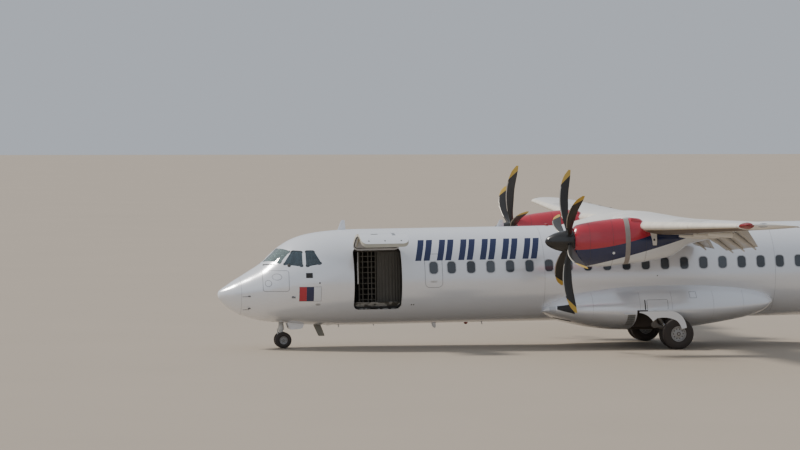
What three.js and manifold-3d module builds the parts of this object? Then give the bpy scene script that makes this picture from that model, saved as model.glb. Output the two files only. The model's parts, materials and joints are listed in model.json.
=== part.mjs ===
// Regional airliner with two turboprop engines, a high wing and a T-tail, parked on its gear.
// Millimetres. Station x runs aft from the nose tip, y to starboard, z up from the ground
// under the main wheels. The last lines tip it nose-down as it stands and centre it.

import * as THREE from 'three';
import { mergeVertices } from 'three/addons/utils/BufferGeometryUtils.js';
import Module from 'manifold-3d';

const wasm = await Module();
wasm.setup();

// Driving sizes
const NOSE_DOWN = 0.0141;
const FIT = 0.3;
const PLAY = 8;
const END_PLAY = 22;
const MAIN_AXLE_X = 12575;
const WHEELBASE = 10770;
const NOSE_AXLE_X = MAIN_AXLE_X - WHEELBASE;
const MAIN_TYRE = { radius: 432, width: 254, sides: 24, rim: 215, y: 2050, spread: 210 };
const NOSE_TYRE = { radius: 225, width: 180, sides: 20, rim: 112, spread: 150 };
const AXLE_RADIUS = 60;
const NOSE_AXLE_RADIUS = 34;
const WALL = 70;
const PROP = { x: 9140, y: 4050, z: 3130, hub: 300, blades: 6 };
const ENGINE = { x0: 9600, x1: 11000, wall: 60, half: 250, bottom: 2810, top: 3400 };
const INTAKE = { front: 9000, half: 190, bottom: 2580, top: 2690 };
const JACK_PAD = { radius: 50, root: 110, sides: 20 };
const NOSE_PAD = { x: 3080, y: 0, face: 755 };
const MAIN_PAD = { x: 13330, y: 700, face: 500 };
const PORT_PHASE = 10;
const STARBOARD_PHASE = -11;
const CARGO = { x0: 3635, x1: 4975, sill: 1232, top: 2950, corner: 150, open: 93, wall: 90 };
const CORNER_ROOM = 15;
const HOLD = { x0: 3330, x1: 5300, floor: 1220 };
const CABIN = { x0: 5400, x1: 21900, joints: [9000, 15600, 22500] };
const STAIR = { x0: 20125, x1: 20875, sill: 1300, top: 3050, corner: 110, out: 25 };
const WING_TIP_Y = 13525;
const TAILPLANE_TIP_Y = 3655;

// Fuselage sections: station, top, bottom, half width, height of the widest line
const FUSELAGE = [
  [0, 1670, 1670, 0, 1670],
  [30, 1770, 1570, 110, 1670],
  [100, 1830, 1480, 200, 1670],
  [250, 1930, 1330, 340, 1680],
  [450, 2060, 1190, 500, 1690],
  [620, 2160, 1100, 600, 1700],
  [920, 2340, 1000, 770, 1740],
  [1220, 2530, 920, 920, 1780],
  [1450, 2750, 890, 1010, 1820],
  [1640, 2920, 865, 1090, 1860],
  [1850, 3060, 845, 1160, 1890],
  [2050, 3170, 830, 1220, 1920],
  [2480, 3310, 795, 1335, 1970],
  [2900, 3375, 775, 1395, 1990],
  [3300, 3410, 765, 1420, 1995],
  [3750, 3430, 760, 1432.5, 1995],
  [17200, 3430, 760, 1432.5, 1995],
  [18500, 3430, 830, 1400, 2020],
  [19800, 3415, 1000, 1300, 2100],
  [21000, 3390, 1220, 1150, 2250],
  [22500, 3300, 1550, 920, 2400],
  [24000, 3200, 1870, 680, 2500],
  [25300, 3070, 2130, 470, 2580],
  [26700, 2930, 2400, 240, 2650],
  [27100, 2800, 2520, 120, 2660],
  [27166, 2660, 2660, 0, 2660],
];

// Nacelle sections: station, top, bottom, half width, height of the widest line
const NACELLE = [
  [9260, 3490, 2800, 330, 3130],
  [9335, 3555, 2620, 385, 3110],
  [9650, 3630, 2430, 440, 3080],
  [10000, 3680, 2420, 470, 3080],
  [10750, 3740, 2485, 480, 3090],
  [11080, 3720, 2510, 480, 3100],
  [11400, 3470, 2560, 475, 3120],
  [11930, 3440, 2665, 450, 3150],
  [12180, 3430, 2790, 430, 3180],
  [12420, 3420, 2960, 400, 3220],
  [12720, 3400, 3040, 340, 3240],
  [13250, 3390, 3140, 220, 3270],
  [13660, 3300, 3230, 60, 3265],
];

// Belly and wheel fairing sections, the same columns
const GEAR_FAIRING = [
  [8990, 1180, 990, 1150, 1090],
  [9100, 1360, 930, 1270, 1110],
  [9300, 1560, 850, 1430, 1120],
  [9800, 1800, 700, 1630, 1100],
  [10500, 1940, 550, 1790, 1080],
  [11200, 2000, 470, 1910, 1070],
  [12000, 2020, 455, 1970, 1070],
  [13000, 2010, 470, 1970, 1080],
  [13700, 1990, 550, 1890, 1100],
  [14500, 1940, 670, 1730, 1140],
  [15100, 1780, 790, 1600, 1180],
  [15350, 1640, 900, 1500, 1200],
  [15500, 1440, 1100, 1360, 1240],
];

// Wing root fairing over the cabin roof, the same columns
const ROOF_FAIRING = [
  [9750, 3440, 3000, 420, 3100],
  [10400, 3600, 2950, 760, 3080],
  [11000, 3755, 2900, 960, 3060],
  [11700, 3815, 2880, 1010, 3060],
  [12200, 3780, 2880, 1010, 3060],
  [12700, 3695, 2880, 1010, 3060],
  [13200, 3605, 2890, 960, 3070],
  [13700, 3535, 2920, 840, 3090],
  [14300, 3480, 2980, 620, 3120],
  [14900, 3436, 3100, 260, 3200],
];

// Points round a section of each skin
const RING_POINTS = new Map([[FUSELAGE, 32], [NACELLE, 20], [GEAR_FAIRING, 24], [ROOF_FAIRING, 20]]);

// Wing sections: y, leading edge x, leading edge z, chord, thickness ratio
const WING = [
  [0, 11060, 3540, 2570, 0.18],
  [4800, 11060, 3510, 2570, 0.18],
  [9000, 11300, 3640, 2100, 0.155],
  [13200, 11545, 3770, 1625, 0.13],
  [13525, 11700, 3800, 1350, 0.1],
];
const WING_INCIDENCE = 0.035;
const FLAP_HINGE = 0.66;
const FLAP_DOWN = 45;
const AILERON_HINGE = 0.72;

// Fin sections: z, leading edge x, trailing edge x, thickness
const FIN = [
  [2900, 20600, 25780, 250],
  [3330, 19000, 25905, 160],
  [3450, 19250, 25940, 200],
  [3890, 20880, 26070, 280],
  [4210, 21850, 26165, 300],
  [4840, 22890, 26350, 310],
  [5690, 23990, 26600, 310],
  [6500, 24530, 26840, 280],
  [7130, 24940, 27030, 250],
  [7330, 25250, 27100, 190],
  [7445, 25900, 27060, 60],
];
const RUDDER = { z0: 3165, z1: 6390, x0: 24725, slope: 0.365 };

// Tailplane sections: y, leading edge x, leading edge z, chord, thickness ratio
const TAILPLANE = [
  [0, 24720, 6700, 2000, 0.11],
  [3500, 25420, 6700, 1270, 0.1],
  [3655, 25560, 6700, 1050, 0.08],
];
const ELEVATOR_HINGE = 0.65;

// Flight deck panes of one side: corners x, y, z, going round
const PANES = [
  ['front', [1640, 90, 2935], [1910, 750, 2920], [1630, 850, 2550], [1250, 90, 2575]],
  ['side', [1970, 800, 2930], [2220, 1000, 2930], [2230, 1200, 2470], [1690, 1000, 2560]],
  ['rear', [2320, 1050, 2940], [2550, 1100, 2930], [2750, 1300, 2540], [2320, 1250, 2470]],
];

// Finishes: colour, roughness, metalness
const FINISH = {
  paint: [0xdfe2e6, 0.35, 0.0],
  red: [0x9e2233, 0.35, 0.0],
  grey: [0xa9a296, 0.5, 0.0],
  black: [0x17171a, 0.45, 0.0],
  metal: [0x9aa0a6, 0.35, 0.9],
  tyre: [0x2a2320, 0.9, 0.0],
  glass: [0x14181c, 0.05, 0.0],
  seat: [0x3a3f4a, 0.9, 0.0],
};

function material(name) {
  const [color, roughness, metalness] = FINISH[name];
  return new THREE.MeshStandardMaterial({ color, roughness, metalness });
}

// Solids and geometries

function solidOf(geometry) {
  const plain = geometry.index ? geometry.toNonIndexed() : geometry.clone();
  plain.deleteAttribute('normal');
  plain.deleteAttribute('uv');
  const merged = mergeVertices(plain, 1e-3);
  const vertProperties = new Float32Array(merged.attributes.position.array);
  const triVerts = new Uint32Array(merged.index.array);
  return new wasm.Manifold(new wasm.Mesh({ numProp: 3, vertProperties, triVerts }));
}

function geometryOf(solid) {
  const mesh = solid.getMesh();
  const geometry = new THREE.BufferGeometry();
  geometry.setAttribute('position', new THREE.BufferAttribute(new Float32Array(mesh.vertProperties), 3));
  geometry.setIndex(new THREE.BufferAttribute(new Uint32Array(mesh.triVerts), 1));
  return geometry;
}

function join(...solids) {
  return solids.reduce((whole, solid) => whole.add(solid));
}

// A closed skin over rings of points; a ring of one point is a tip
function skin(rings) {
  const positions = [];
  const starts = [];
  for (const ring of rings) {
    starts.push(positions.length / 3);
    for (const point of ring) positions.push(point.x, point.y, point.z);
  }
  const faces = [];
  for (let i = 0; i + 1 < rings.length; i += 1) {
    const here = rings[i].length;
    const there = rings[i + 1].length;
    const count = Math.max(here, there);
    for (let k = 0; k < count; k += 1) {
      const next = (k + 1) % count;
      const a = starts[i] + (here > 1 ? k : 0);
      const b = starts[i] + (here > 1 ? next : 0);
      const c = starts[i + 1] + (there > 1 ? next : 0);
      const d = starts[i + 1] + (there > 1 ? k : 0);
      if (a !== b) faces.push(a, b, c);
      if (c !== d) faces.push(a, c, d);
    }
  }
  for (const end of [0, rings.length - 1]) {
    const ring = rings[end];
    if (ring.length < 2) continue;
    const middle = positions.length / 3;
    const centre = ring.reduce((sum, p) => sum.add(p), new THREE.Vector3()).divideScalar(ring.length);
    positions.push(centre.x, centre.y, centre.z);
    for (let k = 0; k < ring.length; k += 1) {
      const next = (k + 1) % ring.length;
      const pair = end === 0 ? [next, k] : [k, next];
      faces.push(middle, starts[end] + pair[0], starts[end] + pair[1]);
    }
  }
  if (volumeOf(positions, faces) < 0) {
    for (let i = 0; i < faces.length; i += 3) {
      const held = faces[i];
      faces[i] = faces[i + 1];
      faces[i + 1] = held;
    }
  }
  const vertProperties = new Float32Array(positions);
  const triVerts = new Uint32Array(faces);
  return new wasm.Manifold(new wasm.Mesh({ numProp: 3, vertProperties, triVerts }));
}

function volumeOf(positions, faces) {
  const at = (i) => new THREE.Vector3(positions[3 * i], positions[3 * i + 1], positions[3 * i + 2]);
  let volume = 0;
  for (let i = 0; i < faces.length; i += 3) {
    volume += at(faces[i]).dot(at(faces[i + 1]).cross(at(faces[i + 2])));
  }
  return volume;
}

// Columns of a table at a station, read between its rows
function rowAt(table, x) {
  for (let i = 0; i + 1 < table.length; i += 1) {
    if (x >= table[i][0] && x <= table[i + 1][0]) {
      const share = (x - table[i][0]) / (table[i + 1][0] - table[i][0]);
      return table[i].map((value, k) => value + share * (table[i + 1][k] - value));
    }
  }
  throw new Error(`station ${x} is off the table`);
}

// An egg-shaped ring across the station: an upper and a lower half ellipse of one width
function eggRing([x, top, bottom, halfWidth, wide], grow, middleY, count) {
  if (halfWidth === 0) return [new THREE.Vector3(x, middleY, wide)];
  const ring = [];
  for (let k = 0; k < count; k += 1) {
    const angle = (2 * Math.PI * k) / count;
    const height = Math.cos(angle) > 0 ? top + grow - wide : wide - bottom + grow;
    const y = middleY + (halfWidth + grow) * Math.sin(angle);
    ring.push(new THREE.Vector3(x, y, wide + height * Math.cos(angle)));
  }
  return ring;
}

function hull(table, x0, x1, grow = 0, middleY = 0) {
  const stations = table.map((row) => row[0]).filter((x) => x > x0 && x < x1);
  const count = RING_POINTS.get(table);
  return skin([x0, ...stations, x1].map((x) => eggRing(rowAt(table, x), grow, middleY, count)));
}

function boxSolid(x0, x1, y0, y1, z0, z1) {
  const geometry = new THREE.BoxGeometry(x1 - x0, y1 - y0, z1 - z0);
  geometry.translate((x0 + x1) / 2, (y0 + y1) / 2, (z0 + z1) / 2);
  return solidOf(geometry);
}

// A round bar between two points, tapering from one radius to the other
function bar(from, to, r0, r1 = r0, sides = 16, phase = 0) {
  const start = new THREE.Vector3(...from);
  const end = new THREE.Vector3(...to);
  const geometry = new THREE.CylinderGeometry(r1, r0, start.distanceTo(end), sides);
  geometry.rotateY(phase);
  const turn = new THREE.Quaternion();
  turn.setFromUnitVectors(new THREE.Vector3(0, 1, 0), end.clone().sub(start).normalize());
  geometry.applyQuaternion(turn);
  const middle = start.add(end).multiplyScalar(0.5);
  geometry.translate(middle.x, middle.y, middle.z);
  return solidOf(geometry);
}

function outline(points) {
  return new THREE.Shape(points.map(([a, b]) => new THREE.Vector2(a, b)));
}

// A flat outline in plan (x, y), raised from z0 to z1
function planSolid(points, z0, z1) {
  const geometry = new THREE.ExtrudeGeometry(outline(points), { depth: z1 - z0, bevelEnabled: false });
  geometry.translate(0, 0, z0);
  return solidOf(geometry);
}

// A flat outline in side view (x, z), spread from y0 to y1
function sideSolid(shape, y0, y1) {
  const geometry = new THREE.ExtrudeGeometry(shape, { depth: y1 - y0, bevelEnabled: false, curveSegments: 3 });
  geometry.rotateX(Math.PI / 2);
  geometry.translate(0, y1, 0);
  return solidOf(geometry);
}

function roundedRect(x0, x1, z0, z1, r) {
  const shape = new THREE.Shape();
  shape.moveTo(x0 + r, z0);
  shape.lineTo(x1 - r, z0);
  shape.absarc(x1 - r, z0 + r, r, -Math.PI / 2, 0);
  shape.lineTo(x1, z1 - r);
  shape.absarc(x1 - r, z1 - r, r, 0, Math.PI / 2);
  shape.lineTo(x0 + r, z1);
  shape.absarc(x0 + r, z1 - r, r, Math.PI / 2, Math.PI);
  shape.lineTo(x0, z0 + r);
  shape.absarc(x0 + r, z0 + r, r, Math.PI, 1.5 * Math.PI);
  return shape;
}

// Turned parts: rows of distance along y and radius, closed on the axis
function turned(profile, x, y, z, sides, phase = 0) {
  const points = profile.map(([along, radius]) => new THREE.Vector2(radius, along));
  const geometry = new THREE.LatheGeometry(points, sides);
  geometry.rotateY(phase);
  geometry.translate(x, y, z);
  return solidOf(geometry);
}

// Wing-like sections of one thickness law
const CHORD_STEPS = [0.015, 0.06, 0.15, 0.3, 0.5, 0.75];
const BLADE_STEPS = [0.12, 0.45, 0.8];

function halfThickness(share) {
  const root = 1.4845 * Math.sqrt(share) - 0.63 * share;
  return root - 1.758 * share ** 2 + 1.4215 * share ** 3 - 0.5075 * share ** 4;
}

function foil(chord, thickness, place, grow = 0, steps = CHORD_STEPS) {
  const back = [...steps].reverse();
  const heel = [chord + grow, halfThickness(1) * thickness + grow];
  const upper = back.map((s) => [s * chord, halfThickness(s) * thickness + grow]);
  const lower = steps.map((s) => [s * chord, -halfThickness(s) * thickness - grow]);
  const points = [heel, ...upper, [-grow, 0], ...lower, [heel[0], -heel[1]]];
  return points.map(([along, up]) => place(along, up));
}

// A lifting surface across y; side is -1 for port and 1 for starboard
function spanSurface(table, y0, y1, side, incidence, camber, grow = 0) {
  const spans = table.map((row) => row[0]).filter((y) => y > y0 && y < y1);
  return skin([y0, ...spans, y1].map((span) => {
    const [y, edgeX, edgeZ, chord, ratio] = rowAt(table, span);
    return foil(chord, chord * ratio, (along, up) => {
      const arch = camber * chord * 4 * (along / chord) * (1 - along / chord);
      return new THREE.Vector3(edgeX + along, side * y, edgeZ + up + arch - along * incidence);
    }, grow);
  }));
}

function finSurface(grow = 0) {
  return skin(FIN.map(([z, front, back, thick]) => foil(
    back - front,
    thick,
    (along, up) => new THREE.Vector3(front + along, up, z),
    grow,
  )));
}

// Station of a chord share at a span, and the middle height of the section there
function chordPoint(table, span, share, incidence, camber) {
  const [y, edgeX, edgeZ, chord, ratio] = rowAt(table, span);
  const x = edgeX + share * chord;
  const z = edgeZ + camber * chord * 4 * share * (1 - share) - share * chord * incidence;
  return { x, y, z, half: halfThickness(share) * chord * ratio };
}

// Plan outline of the part of a surface behind a chord share
function aftPlan(table, y0, y1, share, shift, side) {
  const spans = [y0, ...table.map((row) => row[0]).filter((y) => y > y0 && y < y1), y1];
  const front = spans.map((y) => [chordPoint(table, y, share, 0, 0).x + shift, side * y]);
  const backX = Math.max(...table.map((row) => row[1] + row[3])) + 400;
  return [...front, [backX, side * y1], [backX, side * y0]];
}

const airliner = new THREE.Group();

function piece(parent, name, finish, solid) {
  const mesh = new THREE.Mesh(geometryOf(solid), material(finish));
  mesh.name = name;
  parent.add(mesh);
}

const SIDES = [['left', -1], ['right', 1]];
const FAR = 30000;

// Height of the ground in these axes, which lie nose-down on it
function groundAt(x) {
  return (MAIN_AXLE_X - x) * Math.tan(NOSE_DOWN);
}

// A jacking pad: a short round boss with a flat face that looks down
function jackPad(x, y, face) {
  const { radius, root, sides } = JACK_PAD;
  return bar([x, y, face + root], [x, y, face], radius, radius, sides);
}

// Nose, with the flight deck open behind its panes

const NOSE_END = 3250;
const RADOME_END = 600;
const DECK = { x0: 1180, x1: 3180, floor: 1560 };

function paneSlab([, ...corners], side, shrink) {
  const points = corners.map(([x, y, z]) => new THREE.Vector3(x, side * y, z));
  const centre = points.reduce((sum, p) => sum.add(p), new THREE.Vector3()).divideScalar(4);
  const normal = points[2].clone().sub(points[0]).cross(points[3].clone().sub(points[1])).normalize();
  const inset = points.map((p) => p.clone().lerp(centre, shrink / p.distanceTo(centre)));
  const reach = normal.multiplyScalar(260);
  return skin([inset.map((p) => p.clone().add(reach)), inset.map((p) => p.clone().sub(reach))]);
}

function addNose() {
  piece(airliner, 'radome', 'paint', hull(FUSELAGE, 0, RADOME_END));
  let shell = hull(FUSELAGE, RADOME_END + FIT, NOSE_END);
  const room = hull(FUSELAGE, DECK.x0, DECK.x1, -WALL);
  shell = shell.subtract(room.intersect(boxSolid(0, FAR, -FAR, FAR, DECK.floor, FAR)));
  shell = shell.subtract(boxSolid(NOSE_BAY.x0, NOSE_BAY.x1, -NOSE_BAY.half, NOSE_BAY.half, 0, NOSE_BAY.roof));
  const glassOuter = hull(FUSELAGE, RADOME_END + FIT, NOSE_END, -6);
  const glassInner = hull(FUSELAGE, RADOME_END + FIT, NOSE_END, -22);
  const glassSkin = glassOuter.subtract(glassInner);
  for (const [sideName, side] of SIDES) {
    for (const pane of PANES) {
      shell = shell.subtract(paneSlab(pane, side, 0));
      const glass = glassSkin.intersect(paneSlab(pane, side, FIT));
      piece(airliner, `pane_${pane[0]}_${sideName}`, 'glass', glass);
    }
  }
  shell = join(shell, jackPad(NOSE_PAD.x, NOSE_PAD.y, NOSE_PAD.face));
  piece(airliner, 'nose_shell', 'paint', shell);
}

function addFlightDeck() {
  const inside = hull(FUSELAGE, DECK.x0 + FIT, DECK.x1, -WALL - FIT);
  const shelf = boxSolid(1250, 1640, -FAR, FAR, DECK.floor + FIT, 2330);
  const shade = boxSolid(1400, 1720, -720, 720, 2300, 2370);
  const console = boxSolid(1600, 2500, -180, 180, DECK.floor + FIT, 1800);
  piece(airliner, 'instrument_panel', 'black', inside.intersect(join(shelf, shade, console)));
  for (const [sideName, side] of SIDES) {
    const y0 = side * 520;
    const base = boxSolid(2100, 2500, y0 - 200, y0 + 200, DECK.floor + FIT, 1850);
    const cushion = boxSolid(2020, 2560, y0 - 240, y0 + 240, 1850, 1980);
    const back = boxSolid(2480, 2600, y0 - 230, y0 + 230, 1950, 2620);
    const rest = boxSolid(2490, 2590, y0 - 130, y0 + 130, 2600, 2810);
    piece(airliner, `pilot_seat_${sideName}`, 'seat', join(base, cushion, back, rest));
  }
}

// Fuselage sections behind the nose

// Hinge knuckles of a door, each on a leaf that reaches into its door or frame
const KNUCKLE = { radius: 18, room: 6, length: 70, leaf: 40, root: 60, sides: 10 };

// Rows: from, to, and whether the door owns the knuckle
function knuckles(middles) {
  const rows = [];
  for (const middle of middles) {
    for (let k = -1; k <= 1; k += 1) {
      const start = middle + k * KNUCKLE.length - KNUCKLE.length / 2 + FIT / 2;
      rows.push([start, start + KNUCKLE.length - FIT, k === 0]);
    }
  }
  return rows;
}

// Gives a door or its frame its own knuckles and room round the other's; up is the leaf's way
function withKnuckles(solid, door, { y, z, rows }, up) {
  const { radius, room, leaf, root, sides } = KNUCKLE;
  const near = z + (door ? up * PLAY : 0);
  const far = z + up * leaf;
  const wide = radius + room;
  let result = solid;
  for (const [x0, x1, ownedByDoor] of rows) {
    if (ownedByDoor !== door) {
      result = result.subtract(bar([x0 - room, y, z], [x1 + room, y, z], wide, wide, sides));
    }
  }
  for (const [x0, x1, ownedByDoor] of rows) {
    if (ownedByDoor !== door) continue;
    const plate = boxSolid(x0, x1, y, root - skinY(x1, z), Math.min(near, far), Math.max(near, far));
    result = join(result, bar([x0, y, z], [x1, y, z], radius, radius, sides), plate);
  }
  return result;
}

// Distance from the middle plane to the skin at a station and height
function skinY(x, z) {
  const [, top, bottom, halfWidth, wide] = rowAt(FUSELAGE, x);
  const rise = z > wide ? (z - wide) / (top - wide) : (wide - z) / (wide - bottom);
  return halfWidth * Math.sqrt(1 - rise ** 2);
}

const CARGO_HINGE = {
  y: -skinY(CARGO.x0, CARGO.top),
  z: CARGO.top,
  rows: knuckles([CARGO.x0 + 230, CARGO.x1 - 230]),
};

// The skin narrows aft, so the airstair turns on a line just outside its forward corner
const STAIR_HINGE = {
  y: -skinY(STAIR.x0, STAIR.sill) - STAIR.out,
  z: STAIR.sill,
  rows: knuckles([STAIR.x0 + 130, STAIR.x0 + 360]),
};

function addFuselage() {
  const [frontEnd, midEnd, rearEnd] = CABIN.joints;
  const cabin = hull(FUSELAGE, CABIN.x0, CABIN.x1, -CARGO.wall);
  let front = hull(FUSELAGE, NOSE_END + FIT, frontEnd).subtract(cabin);
  const room = hull(FUSELAGE, HOLD.x0, HOLD.x1, -CARGO.wall);
  front = front.subtract(room.intersect(boxSolid(0, FAR, -FAR, FAR, HOLD.floor, FAR)));
  const doorway = roundedRect(CARGO.x0, CARGO.x1, CARGO.sill, CARGO.top, CARGO.corner);
  front = front.subtract(sideSolid(doorway, -2000, -700));
  front = withKnuckles(front, false, CARGO_HINGE, 1);
  piece(airliner, 'forward_fuselage', 'paint', front);
  piece(airliner, 'mid_fuselage', 'paint', hull(FUSELAGE, frontEnd + FIT, midEnd).subtract(cabin));
  const landing = boxSolid(STAIR.x0 - 500, FAR, -FAR, FAR, STAIR.sill - 60, STAIR.sill);
  let rear = hull(FUSELAGE, midEnd + FIT, rearEnd).subtract(cabin.subtract(landing));
  const stairway = roundedRect(STAIR.x0, STAIR.x1, STAIR.sill, STAIR.top, STAIR.corner);
  rear = rear.subtract(sideSolid(stairway, -2000, -200));
  rear = withKnuckles(rear, false, STAIR_HINGE, -1);
  piece(airliner, 'rear_fuselage', 'paint', rear);
  const cone = hull(FUSELAGE, rearEnd + FIT, 27166).subtract(hull(FUSELAGE, rearEnd, 25300, -WALL));
  piece(airliner, 'tail_cone', 'paint', cone);
}

function addCargoDoor() {
  const shell = hull(FUSELAGE, 3400, 5200).subtract(hull(FUSELAGE, 3400, 5200, -WALL));
  const x0 = CARGO.x0 + PLAY;
  const x1 = CARGO.x1 - PLAY;
  const panel = roundedRect(x0, x1, CARGO.sill + PLAY, CARGO.top - PLAY, CARGO.corner + CORNER_ROOM);
  const plate = shell.intersect(sideSolid(panel, -2000, -500));
  const { y, z } = CARGO_HINGE;
  const door = withKnuckles(plate, true, CARGO_HINGE, -1);
  const swing = new THREE.Group();
  swing.position.set(0, y, z);
  swing.rotation.x = -THREE.MathUtils.degToRad(CARGO.open);
  airliner.add(swing);
  piece(swing, 'cargo_door', 'paint', door.translate([0, -y, -z]));
}

function addAirstair() {
  const shell = hull(FUSELAGE, 19900, 21200).subtract(hull(FUSELAGE, 19900, 21200, -WALL));
  const x0 = STAIR.x0 + PLAY;
  const x1 = STAIR.x1 - PLAY;
  const panel = roundedRect(x0, x1, STAIR.sill + PLAY, STAIR.top - PLAY, STAIR.corner + CORNER_ROOM);
  const plate = shell.intersect(sideSolid(panel, -2000, -300));
  piece(airliner, 'airstair_door', 'paint', withKnuckles(plate, true, STAIR_HINGE, 1));
}

// Wing, flaps and ailerons

// Moving surfaces of one wing: name, inner y, outer y, hinge share of the chord
const FLAPS = [
  ['flap_inner', 1250, 3520, FLAP_HINGE],
  ['flap_outer', 4860, 9020, FLAP_HINGE],
];
const AILERON = ['aileron', 9080, 13150, AILERON_HINGE];
const WING_CAMBER = 0.012;

function wingSolid(y0, y1, side, grow = 0) {
  return spanSurface(WING, y0, y1, side, WING_INCIDENCE, WING_CAMBER, grow);
}

function aftCut(table, y0, y1, share, shift, side) {
  return planSolid(aftPlan(table, y0, y1, share, shift, side), 0, 9000);
}

// Ends of a hinge line, and the half thickness of the section at each
function hingeLine(table, [, y0, y1, share], side, incidence, camber) {
  const inner = chordPoint(table, y0, share, incidence, camber);
  const outer = chordPoint(table, y1, share, incidence, camber);
  const start = new THREE.Vector3(inner.x, side * y0, inner.z);
  const end = new THREE.Vector3(outer.x, side * y1, outer.z);
  return { start, end, halves: [inner.half, outer.half] };
}

// A surface hinged inside its own section: a round nose about the axis and all behind it
function hingedPart(whole, table, part, side, incidence, camber) {
  const [, y0, y1, share] = part;
  const { start, end, halves } = hingeLine(table, part, side, incidence, camber);
  const nose = bar(start, end, ...halves, 12);
  const slab = boxSolid(0, FAR, Math.min(side * y0, side * y1), Math.max(side * y0, side * y1), 0, FAR);
  const behind = whole.intersect(join(aftCut(table, y0, y1, share, 0, side), nose)).intersect(slab);
  return join(behind, hingePin(start, end), hingePin(end, start));
}

// A tapered pin on the axis, standing out of the end at from and away from to
function hingePin(from, to) {
  const axis = from.clone().sub(to).normalize();
  const root = from.clone().addScaledVector(axis, -30);
  const lean = Math.abs(axis.y || axis.z);
  const tip = 3;
  const reach = (END_PLAY - FIT - tip * Math.sqrt(1 - lean ** 2)) / lean;
  return bar(root, from.clone().addScaledVector(axis, reach), 14, tip, 8);
}

function hingedGap(table, [, y0, y1, share], side) {
  const inner = chordPoint(table, y0, share, 0, 0);
  return aftCut(table, y0 - END_PLAY, y1 + END_PLAY, share, -inner.half - PLAY, side);
}

function addWing() {
  let centre = join(wingSolid(0, 4800, -1), wingSolid(0, 4800, 1));
  for (const [sideName, side] of SIDES) {
    const outboard = wingSolid(4800 + FIT, WING_TIP_Y, side);
    let fixed = outboard.subtract(hingedGap(WING, AILERON, side));
    for (const flap of FLAPS) {
      const source = flap[1] < 4800 ? wingSolid(0, 4800, side) : outboard;
      const solid = hingedPart(source, WING, flap, side, WING_INCIDENCE, WING_CAMBER);
      const { start, end } = hingeLine(WING, flap, side, WING_INCIDENCE, WING_CAMBER);
      const lowered = new THREE.Group();
      const axis = end.clone().sub(start).normalize().multiplyScalar(side);
      lowered.quaternion.setFromAxisAngle(axis, THREE.MathUtils.degToRad(FLAP_DOWN));
      lowered.position.copy(start);
      airliner.add(lowered);
      piece(lowered, `${flap[0]}_${sideName}`, 'paint', solid.translate(start.clone().negate().toArray()));
      fixed = fixed.subtract(hingedGap(WING, flap, side));
      centre = centre.subtract(hingedGap(WING, flap, side));
    }
    const aileron = hingedPart(outboard, WING, AILERON, side, WING_INCIDENCE, WING_CAMBER);
    piece(airliner, `aileron_${sideName}`, 'paint', aileron);
    piece(airliner, `wing_outer_${sideName}`, 'paint', fixed);
  }
  const grown = join(wingSolid(0, 4800, -1, FIT), wingSolid(0, 4800, 1, FIT));
  const cabin = hull(FUSELAGE, 8000, 16000, FIT);
  piece(airliner, 'wing_centre', 'paint', centre.subtract(cabin));
  const fairing = hull(ROOF_FAIRING, 9750, 14900).subtract(grown).subtract(cabin);
  piece(airliner, 'wing_fairing', 'paint', fairing);
}

// Nacelles and propellers

// Blade sections: radius, chord, thickness, set back along x, twist from feather in degrees
const BLADE = [
  [240, 110, 110, 0, 0],
  [420, 130, 85, -40, 14],
  [700, 200, 45, -88, 10],
  [1050, 248, 30, -102, 5],
  [1350, 248, 22, -80, 2],
  [1600, 225, 16, -28, -1],
  [1800, 175, 11, 30, -4],
  [1965, 60, 6, 110, -6],
];

function bladeSolid() {
  return skin(BLADE.map(([radius, chord, thick, back, twist]) => {
    const turn = THREE.MathUtils.degToRad(twist);
    const place = (along, up) => {
      const across = along - chord * 0.45;
      const x = across * Math.cos(turn) - up * Math.sin(turn) + back;
      const y = across * Math.sin(turn) + up * Math.cos(turn);
      return new THREE.Vector3(x, y, radius);
    };
    return foil(chord, thick, place, 0, BLADE_STEPS);
  }));
}

function addPropeller(sideName, side, phase) {
  const group = new THREE.Group();
  group.position.set(PROP.x, side * PROP.y, PROP.z);
  group.rotation.x = -THREE.MathUtils.degToRad(phase);
  airliner.add(group);
  const hubEnd = 9240 - PROP.x;
  const hubFront = 9060 - PROP.x;
  let rotor = bar([hubFront, 0, 0], [hubEnd, 0, 0], PROP.hub - 6, PROP.hub, 24);
  const blade = bladeSolid();
  for (let k = 0; k < PROP.blades; k += 1) {
    rotor = rotor.add(blade.rotate([(360 / PROP.blades) * k, 0, 0]));
  }
  piece(group, `propeller_${sideName}`, 'black', rotor);
  // Spinner: distance ahead of the disc and radius
  const cone = [[-660, 0], [-655, 30], [-630, 75], [-540, 152], [-380, 228], [-180, 281]];
  const profile = [...cone, [hubFront - FIT, PROP.hub - 6], [hubFront - FIT, 0]];
  const points = profile.map(([x, radius]) => new THREE.Vector2(radius, x));
  const geometry = new THREE.LatheGeometry(points, 20);
  geometry.rotateZ(-Math.PI / 2);
  piece(group, `spinner_${sideName}`, 'black', solidOf(geometry));
}

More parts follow.
